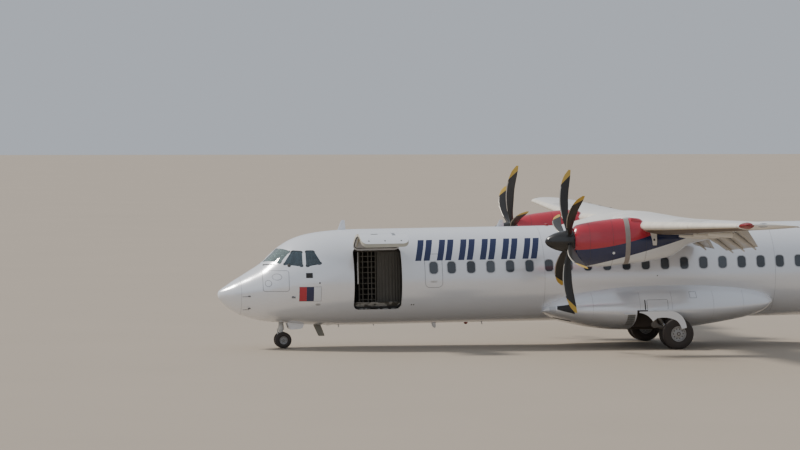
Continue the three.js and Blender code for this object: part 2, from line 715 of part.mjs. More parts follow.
function addNacelles() {
  for (const [sideName, side] of SIDES) {
    const grown = wingSolid(0, 4800, side, FIT);
    let body = hull(NACELLE, 9260, 13660, 0, side * PROP.y);
    const boss = bar([9240.4, side * PROP.y, PROP.z], [9400, side * PROP.y, PROP.z], 150, 150, 24);
    body = join(body, boss).subtract(grown);
    const flapRoom = aftCut(WING, 3400, 4900, FLAP_HINGE, 0, side);
    body = body.subtract(flapRoom.intersect(boxSolid(0, FAR, -FAR, FAR, 3400, FAR)));
    const y = side * PROP.y;
    const room = hull(NACELLE, ENGINE.x0, ENGINE.x1, -ENGINE.wall, y);
    const throat = [INTAKE.front, ENGINE.x0 + FIT, y - INTAKE.half, y + INTAKE.half, INTAKE.bottom, INTAKE.top];
    body = body.subtract(room).subtract(boxSolid(...throat));
    piece(airliner, `nacelle_${sideName}`, 'red', body);
    const block = [ENGINE.x0 + FIT, ENGINE.x1 - FIT, y - ENGINE.half, y + ENGINE.half, ENGINE.bottom, ENGINE.top];
    piece(airliner, `engine_${sideName}`, 'metal', boxSolid(...block));
  }
  addPropeller('left', -1, PORT_PHASE);
  addPropeller('right', 1, STARBOARD_PHASE);
}

// Belly fairing with the wheel wells, and the main gear

// Cave for the leg, the mouth that opens the side ahead of the axle, and a round arch over the wheels
const WELL = {
  x0: 11500, caveEnd: 12480, mouthEnd: 12360, inner: 1250, depth: 1765, side: 2500, low: 300, roof: 1405,
  lip: 1090, arch: 490,
};

function addGearFairing() {
  const axleZ = groundAt(MAIN_AXLE_X) + MAIN_TYRE.radius;
  let fairing = hull(GEAR_FAIRING, 8990, 15500).subtract(hull(FUSELAGE, 8000, 16500, FIT));
  for (const [, side] of SIDES) {
    const edges = (a, b) => (side < 0 ? [-b, -a] : [a, b]);
    const cave = boxSolid(WELL.x0, WELL.caveEnd, ...edges(WELL.inner, WELL.depth), WELL.low, WELL.roof);
    const mouth = boxSolid(WELL.x0, WELL.mouthEnd, ...edges(WELL.inner, WELL.side), WELL.low, WELL.lip);
    const arch = [WELL.arch, WELL.arch, 48];
    const round = bar([MAIN_AXLE_X, side * WELL.inner, axleZ], [MAIN_AXLE_X, side * WELL.side, axleZ], ...arch);
    fairing = fairing.subtract(cave).subtract(mouth).subtract(round);
    fairing = join(fairing, jackPad(MAIN_PAD.x, side * MAIN_PAD.y, MAIN_PAD.face));
  }
  piece(airliner, 'gear_fairing', 'paint', fairing);
}

// One tyre across y: a round tread, two sidewalls and an open bore on the rim
function tyreSolid({ radius, width, sides, rim }, x, y, z) {
  const half = width / 2;
  const flat = radius / Math.cos(Math.PI / sides);
  const bore = rim + FIT;
  const profile = [
    [-half * 0.72, bore], [-half, (rim + radius) / 2], [-half * 0.86, radius * 0.94],
    [-half * 0.5, flat], [half * 0.5, flat], [half * 0.86, radius * 0.94],
    [half, (rim + radius) / 2], [half * 0.72, bore], [-half * 0.72, bore],
  ];
  return turned(profile, x, y, z, sides, Math.PI / sides + NOSE_DOWN);
}

// Two rims on one axle across y
function rimsSolid({ width, rim, sides, spread }, axleRadius, x, y, z) {
  const half = width / 2;
  const phase = Math.PI / sides + NOSE_DOWN;
  const parts = [bar([x, y - spread, z], [x, y + spread, z], axleRadius, axleRadius, 20)];
  for (const side of [-1, 1]) {
    const profile = [
      [-half * 0.7, 0], [-half * 0.7, rim], [half * 0.7, rim],
      [half * 0.35, rim * 0.6], [half * 0.62, rim * 0.3], [half * 0.62, 0],
    ].map(([along, radius]) => [side * along, radius]);
    if (side < 0) profile.reverse();
    parts.push(turned(profile, x, y + side * spread, z, sides, phase));
  }
  return join(...parts);
}

function addWheels(names, tyre, axleRadius, parent, x, y, z) {
  piece(parent, names.rims, 'metal', rimsSolid(tyre, axleRadius, x, y, z));
  for (const [sideName, side] of SIDES) {
    const solid = tyreSolid(tyre, x, y + side * tyre.spread, z);
    piece(parent, `${names.tyre}_${sideName}`, 'tyre', solid);
  }
}

function legSolid(side, axleZ) {
  const y = side * MAIN_TYRE.y;
  const wall = side * (WELL.inner + FIT);
  const beam = bar([12040, side * 1100, 1330], [11970, y, 870], 75, 65, 10);
  const brace = bar([12500, side * 1100, 1300], [12010, y, 870], 40, 40, 8);
  const post = bar([11960, y, 1030], [11960, y, 640], 62, 62, 12);
  const knuckle = bar([11960, y - 50, 690], [11960, y + 50, 690], 90, 90, 12);
  const arm = bar([11960, y, 690], [MAIN_AXLE_X, y, axleZ], 55, 55, 8);
  const eye = bar([MAIN_AXLE_X, y - 50, axleZ], [MAIN_AXLE_X, y + 50, axleZ], 100, 100, 24);
  const bore = bar([MAIN_AXLE_X, y - 60, axleZ], [MAIN_AXLE_X, y + 60, axleZ], AXLE_RADIUS + 1.2, AXLE_RADIUS + 1.2, 24);
  const damper = bar([12330, y, 530], [12010, y, 960], 38, 38, 8);
  const whole = join(beam, brace, post, knuckle, arm, eye, damper).subtract(bore);
  const inboard = side < 0 ? boxSolid(0, FAR, wall, FAR, 0, FAR) : boxSolid(0, FAR, -FAR, wall, 0, FAR);
  return whole.subtract(inboard);
}

function fenderSolid(side) {
  const shape = new THREE.Shape();
  shape.moveTo(11460, 1078);
  shape.lineTo(12340, 1078);
  shape.quadraticCurveTo(12740, 1030, 12795, 600);
  shape.lineTo(12655, 570);
  shape.quadraticCurveTo(12590, 790, 12440, 840);
  shape.quadraticCurveTo(12200, 930, 11960, 885);
  shape.lineTo(11840, 800);
  shape.quadraticCurveTo(11700, 1010, 11460, 1045);
  const outer = side * 2412;
  const inner = side * 2400;
  const panel = sideSolid(shape, Math.min(outer, inner), Math.max(outer, inner));
  const tongue = [side * 2400, side * (MAIN_TYRE.y + 62 + FIT)];
  const bracket = boxSolid(11930, 11990, Math.min(...tongue), Math.max(...tongue), 960, 1020);
  return join(panel, bracket);
}

function addMainGear() {
  const axleZ = groundAt(MAIN_AXLE_X) + MAIN_TYRE.radius;
  for (const [sideName, side] of SIDES) {
    const y = side * MAIN_TYRE.y;
    piece(airliner, `main_leg_${sideName}`, 'metal', legSolid(side, axleZ));
    piece(airliner, `fender_${sideName}`, 'paint', fenderSolid(side));
    const names = { rims: `main_wheels_${sideName}`, tyre: `main_tyre_${sideName}` };
    addWheels(names, MAIN_TYRE, AXLE_RADIUS, airliner, MAIN_AXLE_X, y, axleZ);
  }
}

// Nose gear

const NOSE_BAY = { x0: 1500, x1: 2420, half: 235, roof: 1300 };
const NOSE_LEG_X = NOSE_AXLE_X - 40;

function addNoseGear() {
  const axleZ = groundAt(NOSE_AXLE_X) + NOSE_TYRE.radius;
  const drag = bar([2330, 0, 1290], [NOSE_LEG_X, 0, 880], 28, 28, 10);
  const post = bar([NOSE_LEG_X, 0, NOSE_BAY.roof - FIT], [NOSE_LEG_X, 0, 740], 72, 72, 20);
  const pin = bar([NOSE_LEG_X, -225, 1200], [NOSE_LEG_X, 225, 1200], 40, 40, 12);
  const below = boxSolid(0, FAR, -FAR, FAR, 0, NOSE_BAY.roof - FIT);
  piece(airliner, 'nose_leg', 'paint', join(drag, post, pin).intersect(below));
  const collar = bar([NOSE_LEG_X, 0, 740 - FIT], [NOSE_LEG_X, 0, 660], 84, 84, 20);
  const tube = bar([NOSE_LEG_X, 0, 670], [NOSE_LEG_X, 0, axleZ + 20], 46, 46, 16);
  const lug = bar([NOSE_AXLE_X, -44, axleZ], [NOSE_AXLE_X, 44, axleZ], 62, 62, 20);
  const link = boxSolid(NOSE_LEG_X - 110, NOSE_LEG_X, -20, 20, axleZ + 60, axleZ + 110);
  const linkTop = boxSolid(NOSE_LEG_X - 110, NOSE_LEG_X - 70, -20, 20, axleZ + 60, 700);
  const linkIn = boxSolid(NOSE_LEG_X - 110, NOSE_LEG_X, -20, 20, 665, 700);
  const hole = NOSE_AXLE_RADIUS + 1;
  const bore = bar([NOSE_AXLE_X, -60, axleZ], [NOSE_AXLE_X, 60, axleZ], hole, hole, 24);
  const strut = join(collar, tube, lug, link, linkTop, linkIn).subtract(bore);
  piece(airliner, 'nose_strut', 'metal', strut);
  const names = { rims: 'nose_wheels', tyre: 'nose_tyre' };
  addWheels(names, NOSE_TYRE, NOSE_AXLE_RADIUS, airliner, NOSE_AXLE_X, 0, axleZ);
  for (const [sideName, side] of SIDES) {
    const flap = outline([[1900, 900], [2400, 900], [2340, 690], [1980, 665]]);
    const faces = [side * (NOSE_BAY.half - FIT), side * (NOSE_BAY.half - 14)];
    piece(airliner, `nose_gear_door_${sideName}`, 'paint', sideSolid(flap, Math.min(...faces), Math.max(...faces)));
  }
}

// Fin, rudder, tailplane and elevators

function rudderLine(z) {
  return RUDDER.x0 + (z - RUDDER.z0) * RUDDER.slope;
}

function rudderSide(z0, z1, shift) {
  return outline([[rudderLine(z0) + shift, z0], [28500, z0], [28500, z1], [rudderLine(z1) + shift, z1]]);
}

const RUDDER_NOSE = 110;
const ELEVATOR = ['elevator', 200, 3460, ELEVATOR_HINGE];

function addTail() {
  const whole = finSurface();
  const cone = hull(FUSELAGE, 15600, 27160, FIT);
  const grownTail = join(...[-1, 1].map((side) => spanSurface(TAILPLANE, 0, TAILPLANE_TIP_Y, side, 0, 0, FIT)));
  let fin = whole.subtract(sideSolid(rudderSide(RUDDER.z0 - 400, RUDDER.z1 + END_PLAY, -RUDDER_NOSE - PLAY), -600, 600));
  fin = fin.subtract(cone).subtract(grownTail);
  let plane = join(...[-1, 1].map((side) => spanSurface(TAILPLANE, 0, TAILPLANE_TIP_Y, side, 0, 0)));
  for (const [sideName, side] of SIDES) {
    const half = spanSurface(TAILPLANE, 0, TAILPLANE_TIP_Y, side, 0, 0);
    piece(airliner, `elevator_${sideName}`, 'red', hingedPart(half, TAILPLANE, ELEVATOR, side, 0, 0));
    plane = plane.subtract(hingedGap(TAILPLANE, ELEVATOR, side));
  }
  piece(airliner, 'fin', 'red', fin);
  piece(airliner, 'tailplane', 'red', plane);
  const nose = bar(
    [rudderLine(RUDDER.z0), 0, RUDDER.z0],
    [rudderLine(RUDDER.z1), 0, RUDDER.z1],
    RUDDER_NOSE,
    RUDDER_NOSE * 0.8,
    16,
  );
  const aft = sideSolid(rudderSide(RUDDER.z0, RUDDER.z1, 0), -600, 600);
  const level = boxSolid(0, FAR, -600, 600, RUDDER.z0, RUDDER.z1);
  const top = new THREE.Vector3(rudderLine(RUDDER.z1), 0, RUDDER.z1);
  const foot = new THREE.Vector3(rudderLine(RUDDER.z0), 0, RUDDER.z0);
  const rudder = whole.intersect(join(nose, aft)).intersect(level);
  piece(airliner, 'rudder', 'red', join(rudder, hingePin(top, foot)));
}

// Blade aerials on the roof and the belly: side outline and half thickness

function addAntennas() {
  const cabin = hull(FUSELAGE, 2000, 8000, FIT);
  const roof = outline([[3380, 3300], [3620, 3300], [3600, 3690], [3500, 3690]]);
  piece(airliner, 'antenna_top', 'paint', sideSolid(roof, -11, 11).subtract(cabin));
  const belly = outline([[2650, 850], [2860, 850], [3000, 460], [2810, 470]]);
  piece(airliner, 'antenna_belly', 'grey', sideSolid(belly, -12, 12).subtract(cabin));
}

addNose();
addFlightDeck();
addFuselage();
addCargoDoor();
addAirstair();
addWing();
addNacelles();
addGearFairing();
addMainGear();
addNoseGear();
addTail();
addAntennas();

// Stand it nose-down on its wheels, with the origin under the middle of its box
const parked = new THREE.Group();
airliner.rotation.y = -NOSE_DOWN;
parked.add(airliner);
parked.updateMatrixWorld(true);
const extent = new THREE.Box3().setFromObject(parked, true);
const middle = extent.getCenter(new THREE.Vector3());
airliner.position.set(-middle.x, -middle.y, -extent.min.z);

export default parked;
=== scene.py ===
"""A twin-turboprop regional airliner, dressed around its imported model.

Lengths are metres. Shapes are given in body axes: x aft from the nose tip, y to starboard and z up
from the ground under the main wheels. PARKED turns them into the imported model's frame.
"""

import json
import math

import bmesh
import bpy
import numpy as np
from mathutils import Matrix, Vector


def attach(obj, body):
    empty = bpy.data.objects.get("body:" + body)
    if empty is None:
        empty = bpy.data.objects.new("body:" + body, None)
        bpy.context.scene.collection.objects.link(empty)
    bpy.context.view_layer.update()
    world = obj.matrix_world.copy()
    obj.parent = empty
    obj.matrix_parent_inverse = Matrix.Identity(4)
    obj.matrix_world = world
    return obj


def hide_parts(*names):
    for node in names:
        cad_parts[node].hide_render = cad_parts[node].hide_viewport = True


bl_info = {
    "name": "Turboprop airliner",
    "version": (1, 0, 0),
    "blender": (4, 5, 0),
    "location": "View3D > Sidebar > Airliner",
    "description": "Builds the looks of a parked twin-turboprop airliner around its packed model",
    "category": "Object",
}

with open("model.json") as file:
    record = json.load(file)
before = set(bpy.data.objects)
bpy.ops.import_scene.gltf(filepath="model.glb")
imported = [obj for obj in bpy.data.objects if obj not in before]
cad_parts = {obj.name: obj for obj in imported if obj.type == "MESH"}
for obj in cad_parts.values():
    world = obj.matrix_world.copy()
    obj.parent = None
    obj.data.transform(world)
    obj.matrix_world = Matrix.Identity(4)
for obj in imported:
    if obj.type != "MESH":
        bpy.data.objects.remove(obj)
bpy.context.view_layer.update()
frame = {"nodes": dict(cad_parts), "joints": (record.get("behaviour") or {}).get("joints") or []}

JOINTS = {joint["name"]: joint for joint in frame["joints"]}

# Attitude and place of the parked aircraft
NOSE_DOWN = 0.0141
MAIN_AXLE_X = 12.575
NOSE_AXLE_X = 1.805
MAIN_AXLE = Vector((MAIN_AXLE_X, -2.05, 0.432))
TIP = Matrix.Rotation(-NOSE_DOWN, 4, "Y")
SHIFT = Vector(JOINTS["main_wheels_left_spin"]["pos_m"]) - TIP @ MAIN_AXLE
PARKED = Matrix.Translation(SHIFT) @ TIP

# Fuselage sections: station, top, bottom, half width, height of the widest line
FUSELAGE = np.array([
    (0.0, 1.67, 1.67, 0.0, 1.67),
    (0.03, 1.77, 1.57, 0.11, 1.67),
    (0.1, 1.83, 1.48, 0.2, 1.67),
    (0.25, 1.93, 1.33, 0.34, 1.68),
    (0.45, 2.06, 1.19, 0.5, 1.69),
    (0.62, 2.16, 1.1, 0.6, 1.7),
    (0.92, 2.34, 1.0, 0.77, 1.74),
    (1.22, 2.53, 0.92, 0.92, 1.78),
    (1.45, 2.75, 0.89, 1.01, 1.82),
    (1.64, 2.92, 0.865, 1.09, 1.86),
    (1.85, 3.06, 0.845, 1.16, 1.89),
    (2.05, 3.17, 0.83, 1.22, 1.92),
    (2.48, 3.31, 0.795, 1.335, 1.97),
    (2.9, 3.375, 0.775, 1.395, 1.99),
    (3.3, 3.41, 0.765, 1.42, 1.995),
    (3.75, 3.43, 0.76, 1.4325, 1.995),
    (17.2, 3.43, 0.76, 1.4325, 1.995),
    (18.5, 3.43, 0.83, 1.4, 2.02),
    (19.8, 3.415, 1.0, 1.3, 2.1),
    (21.0, 3.39, 1.22, 1.15, 2.25),
    (22.5, 3.3, 1.55, 0.92, 2.4),
    (24.0, 3.2, 1.87, 0.68, 2.5),
    (25.3, 3.07, 2.13, 0.47, 2.58),
    (26.7, 2.93, 2.4, 0.24, 2.65),
    (27.1, 2.8, 2.52, 0.12, 2.66),
    (27.166, 2.66, 2.66, 0.0, 2.66),
])

# Nacelle, belly fairing and wing root fairing sections, the same columns
NACELLE = np.array([
    (9.26, 3.49, 2.8, 0.33, 3.13),
    (9.335, 3.555, 2.62, 0.385, 3.11),
    (9.65, 3.63, 2.43, 0.44, 3.08),
    (10.0, 3.68, 2.42, 0.47, 3.08),
    (10.75, 3.74, 2.485, 0.48, 3.09),
    (11.08, 3.72, 2.51, 0.48, 3.1),
    (11.4, 3.47, 2.56, 0.475, 3.12),
    (11.93, 3.44, 2.665, 0.45, 3.15),
    (12.18, 3.43, 2.79, 0.43, 3.18),
    (12.42, 3.42, 2.96, 0.4, 3.22),
    (12.72, 3.4, 3.04, 0.34, 3.24),
    (13.25, 3.39, 3.14, 0.22, 3.27),
    (13.66, 3.3, 3.23, 0.06, 3.265),
])
GEAR_FAIRING = np.array([
    (8.99, 1.18, 0.99, 1.15, 1.09),
    (9.1, 1.36, 0.93, 1.27, 1.11),
    (9.3, 1.56, 0.85, 1.43, 1.12),
    (9.8, 1.8, 0.7, 1.63, 1.1),
    (10.5, 1.94, 0.55, 1.79, 1.08),
    (11.2, 2.0, 0.47, 1.91, 1.07),
    (12.0, 2.02, 0.455, 1.97, 1.07),
    (13.0, 2.01, 0.47, 1.97, 1.08),
    (13.7, 1.99, 0.55, 1.89, 1.1),
    (14.5, 1.94, 0.67, 1.73, 1.14),
    (15.1, 1.78, 0.79, 1.6, 1.18),
    (15.35, 1.64, 0.9, 1.5, 1.2),
    (15.5, 1.44, 1.1, 1.36, 1.24),
])
ROOF_FAIRING = np.array([
    (9.75, 3.44, 3.0, 0.42, 3.1),
    (10.4, 3.6, 2.95, 0.76, 3.08),
    (11.0, 3.755, 2.9, 0.96, 3.06),
    (11.7, 3.815, 2.88, 1.01, 3.06),
    (12.2, 3.78, 2.88, 1.01, 3.06),
    (12.7, 3.695, 2.88, 1.01, 3.06),
    (13.2, 3.605, 2.89, 0.96, 3.07),
    (13.7, 3.535, 2.92, 0.84, 3.09),
    (14.3, 3.48, 2.98, 0.62, 3.12),
    (14.9, 3.436, 3.1, 0.26, 3.2),
])

# Fuselage joints, wall and the openings cut in it
RADOME_END = 0.6
SECTION_JOINTS = (RADOME_END, 3.25, 9.0, 15.6, 22.5)
SKIN_WALL = 0.05
JOINT_GAP = 0.0003
CARGO = {"x0": 3.635, "x1": 4.975, "z0": 1.232, "z1": 2.95, "corner": 0.15, "open": 93.0}
STAIR = {"x0": 20.125, "x1": 20.875, "z0": 1.3, "z1": 3.05, "corner": 0.11}
SERVICE = {"x0": 20.2, "x1": 20.81, "z0": 1.5, "z1": 2.78, "corner": 0.09}
EXIT = {"x0": 5.62, "x1": 6.11, "z0": 1.82, "z1": 2.74, "corner": 0.13}
DOOR_PLAY = 0.008
NOSE_BAY = {"x0": 1.5, "x1": 2.42, "half": 0.235, "roof": 1.3}

# Cabin windows: first station, pitch, count, height, size and corner
WINDOW = {"first": 6.37, "pitch": 0.551, "count": 25, "z": 2.363, "wide": 0.236, "high": 0.34,
          "corner": 0.09}
EXIT_WINDOW_X = 5.865

# Flight deck panes of the port side: corners x, y, z going round, and the corner radius
PANES = [
    ("front", ((1.64, 0.09, 2.935), (1.91, 0.75, 2.92), (1.63, 0.85, 2.55), (1.25, 0.09, 2.575)), 0.045),
    ("side", ((1.97, 0.8, 2.93), (2.22, 1.0, 2.93), (2.23, 1.2, 2.47), (1.69, 1.0, 2.56)), 0.045),
    ("rear", ((2.32, 1.05, 2.94), (2.55, 1.1, 2.93), (2.75, 1.3, 2.54), (2.32, 1.25, 2.47)), 0.045),
]
SIDES = (("left", -1), ("right", 1))
# A span past both wing tips
FAR = 40.0
# Edges with a larger turn, in degrees, are shaded sharp
SHARP_ANGLE = 32
# Longest step of a path along a skin
PATH_STEP = 0.05


class AirlinerColours(bpy.types.PropertyGroup):
    """Colours of the finishes"""

    white: bpy.props.FloatVectorProperty(
        name="White paint", description="Fuselage and door paint",
        subtype="COLOR", size=4, min=0, max=1, default=(0.76, 0.785, 0.82, 1))
    cream: bpy.props.FloatVectorProperty(
        name="Wing paint", description="Paint of the wing and its fairings",
        subtype="COLOR", size=4, min=0, max=1, default=(0.78, 0.765, 0.73, 1))
    red: bpy.props.FloatVectorProperty(
        name="Red paint", description="Upper livery colour of cowls and fin",
        subtype="COLOR", size=4, min=0, max=1, default=(0.46, 0.025, 0.045, 1))
    navy: bpy.props.FloatVectorProperty(
        name="Navy paint", description="Lower livery colour of cowls and fin, and of the side bars",
        subtype="COLOR", size=4, min=0, max=1, default=(0.012, 0.022, 0.085, 1))
    # Grime also tints the painted warm floor bounce low down
    grime_and_bounce: bpy.props.FloatVectorProperty(
        name="Grime", description="Dust and exhaust film",
        subtype="COLOR", size=4, min=0, max=1, default=(0.33, 0.27, 0.2, 1))
    tyre: bpy.props.FloatVectorProperty(
        name="Tyre rubber", description="Dusty tyre rubber",
        subtype="COLOR", size=4, min=0, max=1, default=(0.035, 0.026, 0.02, 1))
    floor: bpy.props.FloatVectorProperty(
        name="Floor", description="Pale studio floor",
        subtype="COLOR", size=4, min=0, max=1, default=(0.4, 0.34, 0.27, 1))


class AirlinerSizes(bpy.types.PropertyGroup):
    """Sizes and counts that a user would change"""

    around: bpy.props.IntProperty(
        name="Points around", description="Points round a fuselage section", default=144, min=24, max=256)
    station_step: bpy.props.FloatProperty(
        name="Station step", description="Distance between fuselage sections",
        default=0.12, min=0.04, max=0.5, unit="LENGTH")
    window_frame: bpy.props.FloatProperty(
        name="Window frame", description="Width of the frame round a cabin window",
        default=0.018, min=0.005, max=0.05, unit="LENGTH")
    panel_pitch: bpy.props.FloatProperty(
        name="Panel pitch", description="Distance between the skin's cross joints",
        default=1.4375, min=0.3, max=4, unit="LENGTH")
    hub_bolts: bpy.props.IntProperty(
        name="Hub bolts", description="Bolts round a main wheel's hub", default=10, min=4, max=24)


def colours():
    return bpy.context.scene.airliner_colours


def sizes():
    return bpy.context.scene.airliner_sizes


# Smooth sections


def smooth_column(stations, values, at):
    """Monotone cubic through the rows of a table, so that straight runs stay straight"""
    gaps = np.diff(stations)
    slopes = np.diff(values) / gaps
    ends = np.zeros_like(values)
    before, after = slopes[:-1], slopes[1:]
    first = 2 * gaps[1:] + gaps[:-1]
    second = gaps[1:] + 2 * gaps[:-1]
    same = before * after > 0
    ends[1:-1][same] = ((first + second)[same]
                        / (first[same] / before[same] + second[same] / after[same]))
    ends[0], ends[-1] = slopes[0], slopes[-1]
    row = np.clip(np.searchsorted(stations, at, side="right") - 1, 0, len(stations) - 2)
    gap = gaps[row]
    t = (at - stations[row]) / gap
    start = (1 + 2 * t) * (1 - t) ** 2 * values[row] + t * (1 - t) ** 2 * gap * ends[row]
    return start + t * t * (3 - 2 * t) * values[row + 1] + t * t * (t - 1) * gap * ends[row + 1]


def columns_at(table, at):
    """The other columns of a smooth table at values of its first"""
    return [smooth_column(table[:, 0], column, at) for column in table[:, 1:].T]


def section(table, x):
    """Top, bottom, half width and widest height at stations; the root of x keeps a nose round"""
    x = np.clip(np.asarray(x, float), table[0, 0], table[-1, 0])
    root = np.sqrt(x)
    return [smooth_column(np.sqrt(table[:, 0]), table[:, k], root) for k in range(1, 5)]


def reach(table, x, z):
    """Height share of points above or below the widest line, and that half's height"""
    top, bottom, half, wide = section(table, x)
    high = np.maximum(np.where(z > wide, top - wide, wide - bottom), 1e-4)
    return (z - wide) / high, high, np.maximum(half, 1e-4)


def skin_normal(table, x, y, z):
    """Outward normal of a skin through points, y measured from its middle plane"""
    step = 1e-3

    def level(station):
        share, _, half = reach(table, station, z)
        return (y / half) ** 2 + share ** 2

    low = np.maximum(x - step, table[0, 0])
    share, high, half = reach(table, x, z)
    slope = (level(x + step) - level(low)) / (x + step - low)
    normal = np.stack([slope, 2 * y / half ** 2, 2 * share / high], -1)
    return normal / np.maximum(np.linalg.norm(normal, axis=-1, keepdims=True), 1e-9)


def on_skin(table, x, z, side, lift=0.0, middle=0.0):
    """Points of a skin at stations and heights on one side, moved out along its normal"""
    x, z = np.broadcast_arrays(np.asarray(x, float), np.asarray(z, float))
    share, _, half = reach(table, x, z)
    y = half * np.sqrt(np.clip(1 - share ** 2, 0, 1))
    out = skin_normal(table, x, y, z) * lift
    return np.stack([x + out[..., 0], middle + side * (y + out[..., 1]), z + out[..., 2]], -1)


def egg_rings(table, stations, count, grow=0.0, middle=0.0):
    """Rings of points across a skin, from the top round to starboard"""
    angle = 2 * np.pi * np.arange(count) / count
    rings = []
    for x in stations:
        top, bottom, half, wide = (float(v) for v in section(table, x))
        if half < 1e-4:
            rings.append([(x, middle, wide)])
            continue
        high = np.where(np.cos(angle) > 0, top - wide, wide - bottom) + grow
        y = middle + (half + grow) * np.sin(angle)
        rings.append(np.stack([np.full(count, x), y, wide + high * np.cos(angle)], -1))
    return rings


def steps_between(x0, x1, step):
    """Even stations from one end to the other, no further apart than a step"""
    return np.linspace(x0, x1, max(2, math.ceil((x1 - x0) / step) + 1))


def all_stations(table, step):
    return steps_between(table[0, 0], table[-1, 0], step)


def rounded(width, height, radius, steps=6):
    """Outline of a rounded rectangle about its middle"""
    points = []
    for right, up, start in ((1, -1, -90), (1, 1, 0), (-1, 1, 90), (-1, -1, 180)):
        for k in range(steps + 1):
            angle = math.radians(start + 90 * k / steps)
            points.append((
                right * (width / 2 - radius) + radius * math.cos(angle),
                up * (height / 2 - radius) + radius * math.sin(angle),
            ))
    return np.array(points)


def bow(start, control, end, steps=8):
    """Points of a curve from start to end that leans to a control point"""
    start, control, end = Vector(start), Vector(control), Vector(end)
    shares = np.linspace(0, 1, steps + 1)
    return [start * (1 - t) ** 2 + control * 2 * t * (1 - t) + end * t * t for t in shares]


# Meshes


class Shape:
    """A mesh under way: its points, its faces and each face's material number"""

    def __init__(self):
        self.points = []
        self.faces = []
        self.looks = []

    def add(self, points, faces, look=0):
        """Adds points, and faces that count from the first of them"""
        start = len(self.points)
        self.points += [tuple(float(v) for v in point) for point in points]
        self.faces += [tuple(start + i for i in face) for face in faces]
        self.looks += [look] * len(faces)
        return self

    def loft(self, rings, look=0, hoop=False):
        """A skin over rings; a ring of one point is a tip, and a hoop's last ring meets its first"""
        points, starts, faces = [], [], []
        for ring in rings:
            starts.append(len(points))
            points += list(ring)
        pairs = list(zip(range(len(rings) - 1), range(1, len(rings))))
        if hoop:
            pairs.append((len(rings) - 1, 0))
        for a, b in pairs:
            count = max(len(rings[a]), len(rings[b]))
            for k in range(count):
                after = (k + 1) % count
                corners = [starts[a] + (k if len(rings[a]) > 1 else 0),
                           starts[a] + (after if len(rings[a]) > 1 else 0),
                           starts[b] + (after if len(rings[b]) > 1 else 0),
                           starts[b] + (k if len(rings[b]) > 1 else 0)]
                faces.append(tuple(dict.fromkeys(corners)))
        if not hoop:
            for end in (0, len(rings) - 1):
                if len(rings[end]) > 2:
                    faces.append(tuple(starts[end] + k for k in range(len(rings[end]))))
        return self.add(points, faces, look)

    def box(self, x0, x1, y0, y1, z0, z1, look=0):
        """A box; the two bounds of an axis come in either order"""
        bounds = sorted((x0, x1)), sorted((y0, y1)), sorted((z0, z1))
        corners = [(x, y, z) for x in bounds[0] for y in bounds[1] for z in bounds[2]]
        faces = [(0, 1, 3, 2), (4, 6, 7, 5), (0, 4, 5, 1), (2, 3, 7, 6), (0, 2, 6, 4), (1, 5, 7, 3)]
        return self.add(corners, faces, look)

    def prism(self, outline, near, far, look=0):
        """A solid between an outline of points and the same outline moved, both as offsets"""
        outline = np.asarray(outline, float)
        return self.loft([outline + np.asarray(near, float), outline + np.asarray(far, float)], look)

    def lathe(self, profile, centre, axis, sides=48, look=0):
        """Rows of distance along an axis and radius, turned about it; a radius of 0 is a tip"""
        axis = Vector(axis).normalized()
        across = axis.orthogonal().normalized()
        other = axis.cross(across)
        rings = []
        for along, radius in profile:
            base = Vector(centre) + axis * along
            if radius <= 0:
                rings.append([base])
                continue
            rings.append([
                base + radius * (across * math.cos(a) + other * math.sin(a))
                for a in (2 * math.pi * k / sides for k in range(sides))
            ])
        return self.loft(rings, look)

    def hoop(self, profile, centre, axis, sides=48, look=0):
        """A closed profile of distance along an axis and radius, turned about it"""
        shape = Shape().lathe([*profile, profile[0]], centre, axis, sides)
        count = len(profile)
        rings = [shape.points[k * sides:(k + 1) * sides] for k in range(count)]
        return self.loft(rings, look, hoop=True)

    def tube(self, start, end, r0, r1=None, sides=24, look=0):
        """A round bar between two places, of one radius or tapered"""
        start, end = Vector(start), Vector(end)
        rows = [(0, r0), ((end - start).length, r0 if r1 is None else r1)]
        return self.lathe(rows, start, end - start, sides, look)

    def pipe(self, path, radius, sides=8, look=0):
        """A round bar of one radius along a path of points"""
        path = [Vector(p) for p in path]
        rings = []
        side = None
        for k, point in enumerate(path):
            before = path[max(k - 1, 0)]
            after = path[min(k + 1, len(path) - 1)]
            way = (after - before).normalized()
            if side is None:
                side = way.orthogonal()
            side = (side - way * side.dot(way)).normalized()
            other = way.cross(side)
            rings.append([
                point + radius * (side * math.cos(a) + other * math.sin(a))
                for a in (2 * math.pi * j / sides for j in range(sides))
            ])
        return self.loft(rings, look)

    def strip(self, path, outward, profile, look=0, closed=True):
        """A moulding along points of a skin; profile rows are distance across and lift"""
        path, outward = np.asarray(path, float), np.asarray(outward, float)
        way = np.roll(path, -1, 0) - np.roll(path, 1, 0) if closed else np.gradient(path, axis=0)
        across = np.cross(way, outward)
        across /= np.linalg.norm(across, axis=1, keepdims=True)
        rings = [[p + a * s + lift * n for a, lift in profile] for p, s, n in zip(path, across, outward)]
        return self.loft(rings, look, hoop=closed)

    def mould(self, table, flat, side, profile, look=0, closed=True):
        """A moulding along a path of stations and heights on a skin"""
        return self.strip(*skin_line(table, flat, side, closed), profile, look, closed)

    def round_patch(self, table, x, z, side, radius, lift, look=0, middle=0.0, flat=1.0):
        """A thin round or oval plate that follows a skin"""
        turn = np.linspace(0, 2 * np.pi, 24, endpoint=False)
        rings = []
        for share, height in ((1.0, -0.004), (1.0, lift * 0.6), (0.86, lift), (0.4, lift)):
            along = x + share * radius * np.cos(turn)
            up = z + share * radius * flat * np.sin(turn)
            rings.append(on_skin(table, along, up, side, height, middle))
        return self.loft(rings, look)

